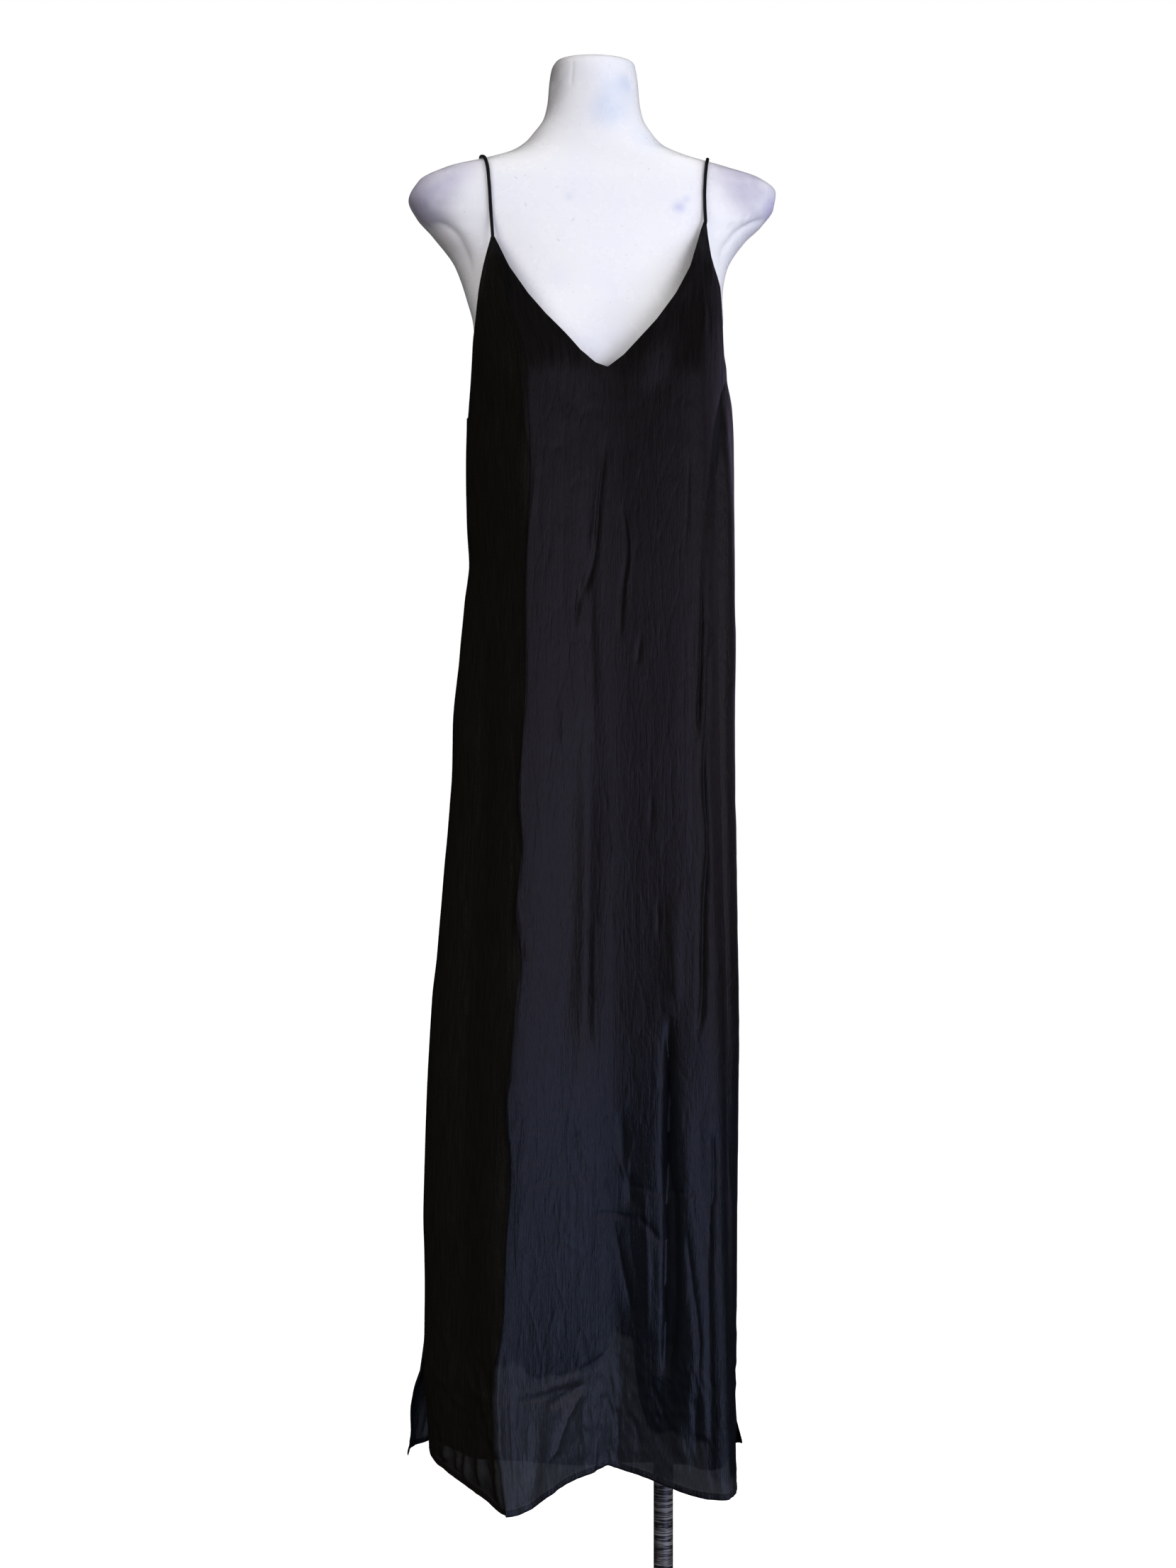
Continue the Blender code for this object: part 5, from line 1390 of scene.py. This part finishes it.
def strewn_creases(panel, seed):
    """Short creases in uneven places over a panel, in the form of the listed ones."""
    chance = np.random.default_rng(seed + STREWN_SEED)
    shortest, longest = STREWN_LENGTH
    creases = []
    for count, across_span, height_span in STREWN_ZONES[panel]:
        for _ in range(count):
            middle = np.array((chance.uniform(*across_span), chance.uniform(*height_span)))
            length = shortest + (longest - shortest) * chance.random() ** STREWN_SHORTNESS
            lean = chance.normal(0.0, STREWN_LEAN) + (math.pi / 2 if chance.random() < STREWN_LEVEL else 0.0)
            along = np.array((math.sin(lean), math.cos(lean)))
            aside = np.array((along[1], -along[0])) * chance.normal(0.0, STREWN_BEND) * length
            route = [middle - along * length / 2, middle + aside, middle + along * length / 2]
            depth = chance.uniform(*STREWN_DEPTH) * (-1 if chance.random() < STREWN_SUNKEN else 1)
            creases.append((chance.uniform(*STREWN_HALF_WIDTH), depth, STREWN_SHARPNESS, route))
    return creases


def crinkle_depth(across, height, seed):
    """Fine upright crinkles, at places given in metres across and up the cloth."""
    mean, spread = PATCH_STRENGTH
    patch = mean + spread * value_noise(across / CRINKLE_PATCH[0], height / CRINKLE_PATCH[1], seed)
    drift_across, drift_down = across / CRINKLE_DRIFT[0], height / CRINKLE_DRIFT[1]
    total = np.zeros(across.shape)
    for layer, (size_across, size_down, depth, ridged) in enumerate(CRINKLES):
        waver = CRINKLE_WAVER * value_noise(drift_across, drift_down, seed + DRIFT_SEED + layer)
        noise = value_noise((across + waver) / size_across, height / size_down, seed + CRINKLE_SEED + layer)
        total += depth * ((1 - ridged) * noise + ridged * ridge(noise))
    size_across, size_down, depth = SIDEWAYS_CRINKLE
    total += depth * value_noise(across / size_across, height / size_down, seed + SIDEWAYS_SEED)
    low = fade_above(height, *HEM_CRUMPLED)
    leaning = across + CRUMPLE_LEAN * height
    for layer, (size_across, size_down, depth) in enumerate(HEM_CRUMPLES):
        noise = value_noise(leaning / size_across, height / size_down, seed + CRUMPLE_SEED + layer)
        total += depth * low * ridge(noise)
    return total * patch


def edge_relief(down, above_hem, below_edge, seed):
    """The raised hem band, its stitch line and puckers, and the slight waves of the top edge."""
    band = HEM_RAISE * smooth_step((HEM_BAND + HEM_STEP - above_hem) / HEM_STEP)
    stitched = STITCH_SINK * np.exp(-(((above_hem - STITCH_LINE) / STITCH_GROOVE) ** 2))
    size, depth = HEM_PUCKER
    pucker = depth * value_noise(down / size, above_hem / PUCKER_HEIGHT, seed + PUCKER_SEED)
    pucker = pucker * smooth_step(PUCKER_BANDS - above_hem / HEM_BAND)
    size, depth = EDGE_PUCKER
    wave = depth * value_noise(down / size, 0 * down, seed + EDGE_SEED) * np.exp(-below_edge / EDGE_BAND)
    return band - stitched + pucker + wave


def make_panel(cloth, panel, creases, material, seed):
    """The fine cloth of one panel, with its face's columns, grid and normals."""
    columns = panel_columns(PANEL_COLUMNS[panel], COLUMN_CLOSENESS)
    foot = cloth.hems[panel].at(columns)[:, 0]
    top = cloth.top_of(panel, columns)
    height = spaced(foot, top, HEM_STEPS, EDGE_STEPS, PANEL_ROWS, ROW_CLOSENESS)
    across = np.broadcast_to(columns, height.shape)
    face = cloth.outer_grid(panel, across, height)
    normals = grid_normals(face)
    down = across * PANEL_WIDTH
    if panel == "front":
        seen_across, seen_height = seen_from_camera(face)
    else:
        seen_across, seen_height = face[..., 0], face[..., 2]
    relief = crease_field(seen_across, seen_height, [*creases, *strewn_creases(panel, seed)])
    below_top = EDGE_CRINKLE + (1 - EDGE_CRINKLE) * smooth_step((top - height) / EDGE_CALM)
    relief = relief + crinkle_depth(down, height, seed) * below_top
    relief = relief + edge_relief(down, height - foot, top - height, seed)
    sewn = smooth_step(1 - np.minimum(across, 1 - across) * PANEL_WIDTH / SEAM_CALM)
    relief = relief * (1 - sewn * smooth_step((height - SLIT_TOP) / SEAM_CALM))
    face = face + normals * relief[..., None]
    bands = (HEM_STEPS.index(HEM_BAND), len(EDGE_STEPS) - 1, len(EDGE_STEPS) - 1)
    grid, pick = turn_edges(face, normals, bands, TURNED_EDGE)
    size_across, size_down, depth = SHEER_RAGGED
    ragged = depth * value_noise(down / size_across, height / size_down, seed + RAGGED_SEED)
    over_sheer = height - cloth.sheer_hems[panel].at(across)[..., 0] + ragged
    layers = {"cloth": height, "sheer": over_sheer, "hem": height - foot}
    uv = {layer: np.stack([down, up], axis=-1)[pick] for layer, up in layers.items()}
    faces = grid_faces(*grid.shape[:2])
    piece = add_piece(f"{panel}_cloth", grid.reshape(-1, 3), faces, material, CLOTH_ANGLE, uv)
    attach(piece, "root")
    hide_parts(f"{panel}_panel")
    return piece, columns, face, normals


def make_lining(cloth, panel, material, seed):
    """The lining of one panel, with soft waves where it hangs loose."""
    columns = panel_columns(LINING_COLUMNS, EVENLY)
    foot = cloth.lining_hems[panel].at(columns)[:, 0]
    top = np.minimum(cloth.top_of(panel, columns) - LINING_SET_BACK, LINING_TOP)
    height = spaced(foot, top, EDGE_STEPS, EDGE_STEPS, LINING_ROWS, EVENLY)
    across = np.broadcast_to(columns, height.shape)
    face = cloth.lining_grid(panel, across, height, top)
    normals = grid_normals(face)
    loose = fade_above(height, *LINING_LOOSE)
    size_across, size_down, depth = LINING_WAVE
    down = across * PANEL_WIDTH
    wave = depth * loose * value_noise(down / size_across, height / size_down, seed)
    face = face + normals * wave[..., None]
    band = len(EDGE_STEPS) - 1
    grid, pick = turn_edges(face, normals, (band, band, band), LINING_TURN)
    uv = {"cloth": np.stack([down, height], axis=-1)[pick]}
    faces = grid_faces(*grid.shape[:2])
    piece = add_piece(f"{panel}_lining_cloth", grid.reshape(-1, 3), faces, material, CLOTH_ANGLE, uv)
    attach(piece, "root")
    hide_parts(f"lining_{panel}")
    return piece


# ---- Thread and straps ----


def tube_points(route, radius, sides):
    """Rings of points round a route. The rings of the ends are drawn in, so that the tube closes roundly."""
    route = np.asarray(route, dtype=float)
    forward = np.gradient(route, axis=0)
    forward /= np.linalg.norm(forward, axis=1, keepdims=True)
    sideways = np.cross(forward[0], (0.0, 0.0, 1.0))
    if np.linalg.norm(sideways) < 0.1:
        sideways = np.cross(forward[0], (0.0, 1.0, 0.0))
    turn = 2 * math.pi * np.arange(sides) / sides
    radius = np.broadcast_to(radius, len(route)).copy()
    radius[0] *= TUBE_END
    radius[-1] *= TUBE_END
    rings = []
    for place, direction, size in zip(route, forward, radius):
        sideways = sideways - direction * sideways.dot(direction)
        sideways = sideways / np.linalg.norm(sideways)
        over = np.cross(direction, sideways)
        rings.append(place + size * (np.cos(turn)[:, None] * sideways + np.sin(turn)[:, None] * over))
    return np.array(rings)


def tube_faces(rows, sides, first=0):
    """Faces of a tube's rings and its two flat ends, counted from the first point's number."""
    faces = []
    for row in range(rows - 1):
        for side in range(sides):
            after = (side + 1) % sides
            low, high = first + row * sides, first + (row + 1) * sides
            faces.append((low + side, high + side, high + after, low + after))
    last = first + (rows - 1) * sides
    faces.append(tuple(first + side for side in range(sides)))
    faces.append(tuple(last + side for side in reversed(range(sides))))
    return faces


def make_stitches(name, lines, panel_piece, material):
    """One mesh of small threads that lie along these lines, each a route of points with normals."""
    points, faces = [], []
    for route, normals in lines:
        run = np.concatenate([[0], np.cumsum(np.linalg.norm(np.diff(route, axis=0), axis=1))])
        for start in np.arange(STITCH_PITCH, run[-1] - STITCH_PITCH, STITCH_PITCH):
            stops = start + STITCH_LENGTH * np.linspace(0.0, 1.0, len(STITCH_ARCH))
            place = np.stack([np.interp(stops, run, route[:, axis]) for axis in range(3)], axis=1)
            out = np.stack([np.interp(stops, run, normals[:, axis]) for axis in range(3)], axis=1)
            place = place + out * np.array(STITCH_ARCH)[:, None]
            rings = tube_points(place, STITCH_RADIUS, STITCH_SIDES)
            faces += tube_faces(len(rings), STITCH_SIDES, len(points))
            points += rings.reshape(-1, 3).tolist()
    piece = add_piece(name, points, faces, material, THREAD_ANGLE)
    piece.parent = panel_piece
    return piece


def stitch_lines(face, normals):
    """The hem's stitch line, and those beside the slit edges."""
    hem_row = HEM_STEPS.index(STITCH_LINE)
    edge = SLIT_STITCH_COLUMN
    lines = [(face[hem_row, edge:-edge], normals[hem_row, edge:-edge])]
    for column in (edge, face.shape[1] - 1 - edge):
        below = (face[:, column, 2] < SLIT_TOP) & (np.arange(len(face)) > hem_row)
        lines.append((face[below, column], normals[below, column]))
    return lines


def settle_strap(form, route):
    """The strap's route in even steps, laid on the form's surface over the shoulder."""
    for _ in range(STRAP_SETTLING):
        route = even_steps(route, STRAP_POINTS)
        for index in range(1, len(route) - 1):
            point = Vector(route[index])
            normal, gap = gap_to(form, point)
            lack = STRAP_RADIUS + STRAP_FORM_GAP - gap
            if lack > 0 or (gap < STRAP_DRAW and point.z > STRAP_DRAW_ABOVE):
                route[index] = point + normal * lack
    return route


def make_strap(side, form, seats, material, seed):
    """A rolled strap from its seat in the front, over the shoulder, to its seat in the back."""
    route = smooth_route([seats[0], *STRAP_ROUTES[side], seats[1]], STRAP_POINTS)
    route = settle_strap(form, route)
    run = np.linspace(0.0, 1.0, len(route))
    size = STRAP_RADIUS * (1 + STRAP_UNEVEN * value_noise(run * STRAP_LUMPS, 0 * run, seed))
    rings = tube_points(route, size, STRAP_SIDES)
    faces = tube_faces(len(rings), STRAP_SIDES)
    piece = add_piece(f"strap_{side}_roll", rings.reshape(-1, 3), faces, material, STRAP_ANGLE)
    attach(piece, "root")
    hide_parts(f"strap_{side}")


def strap_seat(columns, face, point):
    """Where a strap is sewn into a panel: just below the top edge, at this strap point's place across it."""
    near = np.abs(columns - point) < STRAP_POINT_REACH
    top = face[-1, near].mean(axis=0)
    below = face[-1 - STRAP_SEAT_ROWS, near].mean(axis=0)
    return top + (below - top) * STRAP_SEAT_SHARE


# ---- The stand ----


def rounded_profile(corners):
    """A turned section: (radius, height, rounding) corners, each rounding made of a few short chords."""
    profile = []
    count = len(corners)
    for index, (radius, height, rounding) in enumerate(corners):
        here = np.array((radius, height))
        if rounding == 0:
            profile.append(here)
            continue
        before = np.array(corners[index - 1][:2])
        after = np.array(corners[(index + 1) % count][:2])
        into = (before - here) / np.linalg.norm(before - here)
        out = (after - here) / np.linalg.norm(after - here)
        for share in np.linspace(0.0, 1.0, ROUNDING_STEPS):
            start, end = here + into * rounding, here + out * rounding
            profile.append((1 - share) ** 2 * start + 2 * share * (1 - share) * here + share**2 * end)
    return profile


def make_turned(name, corners, bored, centre_x, node, material):
    """A turned piece in place of a node. A bored one's section is a loop, the others have flat ends."""
    profile = np.array(rounded_profile(corners))
    turn = 2 * math.pi * np.arange(TURNED_SIDES) / TURNED_SIDES
    rings = np.stack(
        [
            centre_x + np.outer(profile[:, 0], np.cos(turn)),
            np.outer(profile[:, 0], np.sin(turn)),
            np.outer(profile[:, 1], np.ones(TURNED_SIDES)),
        ],
        axis=2,
    )
    faces = grid_faces(len(profile), TURNED_SIDES, closed=True)
    last = (len(profile) - 1) * TURNED_SIDES
    if bored:
        faces += [
            (last + side, last + (side + 1) % TURNED_SIDES, (side + 1) % TURNED_SIDES, side)
            for side in range(TURNED_SIDES)
        ]
    else:
        faces.append(tuple(reversed(range(TURNED_SIDES))))
        faces.append(tuple(last + side for side in range(TURNED_SIDES)))
    piece = add_piece(name, rings.reshape(-1, 3), faces, material, STAND_ANGLE)
    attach(piece, "root")
    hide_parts(node)


def make_stand():
    """The pole, its two flanged collars and the base plate, each in the place and size of its solid."""
    steel, base = worn_steel_material(), base_material()
    low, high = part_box("pole")
    centre_x, radius = (low.x + high.x) / 2, (high.x - low.x) / 2
    corners = [(radius, low.z, 0.0), (radius, high.z, 0.0)]
    make_turned("pole_tube", corners, False, centre_x, "pole", steel)
    bore = radius + COLLAR_BORE_GAP
    for node, upright in (("base_collar", 1), ("form_collar", -1)):
        low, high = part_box(node)
        flange = (high.x - low.x) / 2
        seat, end = (low.z, high.z) if upright > 0 else (high.z, low.z)
        step = seat + upright * FLANGE_HEIGHT
        corners = [
            (bore, seat, 0.0), (flange, seat, 0.0), (flange, step, FLANGE_ROUNDING),
            (COLLAR_RADIUS, step, 0.0), (COLLAR_RADIUS, end, COLLAR_ROUNDING), (bore, end, 0.0),
        ]
        if upright < 0:
            corners.reverse()
        make_turned(f"{node}_ring", corners, True, centre_x, node, steel)
    low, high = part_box("base_plate")
    radius = (high.x - low.x) / 2
    corners = [(radius, low.z, 0.0), (radius, high.z, BASE_ROUNDING), (BASE_MIDDLE, high.z, 0.0)]
    make_turned("base_disc", corners, False, (low.x + high.x) / 2, "base_plate", base)


# ---- The studio ----


def add_light(name, kind, azimuth, elevation, distance, strength, colour, size, mirrored):
    """A light seen from the middle of the dress at this azimuth, clockwise from the front, and elevation."""
    lamp = bpy.data.lights.new(name, kind)
    lamp.energy = strength
    lamp.color = colour
    if kind == "AREA":
        lamp.shape = "RECTANGLE"
        lamp.size, lamp.size_y = size
    else:
        lamp.angle = size
    light = bpy.data.objects.new(name, lamp)
    azimuth, elevation = math.radians(azimuth), math.radians(elevation)
    level = math.cos(elevation)
    away = Vector((math.sin(azimuth) * level, -math.cos(azimuth) * level, math.sin(elevation)))
    light.location = Vector(STUDIO_AIM) + away * distance
    light.rotation_euler = away.to_track_quat("Z", "Y").to_euler()
    light.visible_glossy = mirrored
    light.visible_camera = False
    bpy.context.scene.collection.objects.link(light)


def make_studio():
    """The pale floor, the white surround and the lights."""
    bpy.ops.mesh.primitive_plane_add(size=FLOOR_SIZE, location=(0.0, 0.0, 0.0))
    floor = bpy.context.active_object
    floor.name = "floor"
    floor.data.materials.append(floor_material())
    floor.visible_glossy = False
    floor.visible_diffuse = False
    floor.visible_shadow = False

    world = bpy.data.worlds.new("white_surround")
    world.use_nodes = True
    world.node_tree.nodes["Background"].inputs["Color"].default_value = (1.0, 1.0, 1.0, 1.0)
    world.node_tree.nodes["Background"].inputs["Strength"].default_value = 1.0
    for ray in ("diffuse", "glossy", "transmission", "scatter"):
        setattr(world.cycles_visibility, ray, False)
    bpy.context.scene.world = world
    bpy.context.scene.view_settings.view_transform = "Standard"

    for row in LIGHTS:
        add_light(*row)


def make_camera():
    """The camera, level, a little left of the front."""
    camera = bpy.data.objects.new("camera", bpy.data.cameras.new("camera"))
    away = Vector((-math.sin(VIEW_TURN), -math.cos(VIEW_TURN), 0.0))
    right = Vector((math.cos(VIEW_TURN), -math.sin(VIEW_TURN), 0.0))
    camera.location = away * VIEW_DISTANCE - right * VIEW_SIDESTEP + Vector((0.0, 0.0, VIEW_HEIGHT))
    camera.rotation_euler = (math.radians(90.0), 0.0, -VIEW_TURN)
    camera.data.sensor_width = SENSOR
    camera.data.lens = LENS
    bpy.context.scene.collection.objects.link(camera)
    bpy.context.scene.camera = camera


# ---- All of it ----


def main():
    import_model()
    make_camera()
    make_studio()

    form = make_form()
    cloth = Cloth(form)
    satin, lining, strap, thread = satin_material(), lining_material(), strap_material(), thread_material()
    seats = {}
    for panel, creases in (("front", FRONT_CREASES), ("back", BACK_CREASES)):
        seed = PANEL_SEEDS[panel]
        piece, columns, face, normals = make_panel(cloth, panel, creases, satin, seed)
        stitches = make_stitches(f"{panel}_stitches", stitch_lines(face, normals), piece, thread)
        lining_piece = make_lining(cloth, panel, lining, seed + LINING_SEED)
        seats[panel] = [strap_seat(columns, face, point) for point in STRAP_PLACES]
    for side, front, back in (("left", 0, 1), ("right", 1, 0)):
        make_strap(side, form, (seats["front"][front], seats["back"][back]), strap, STRAP_SEEDS[side])
    make_stand()


main()
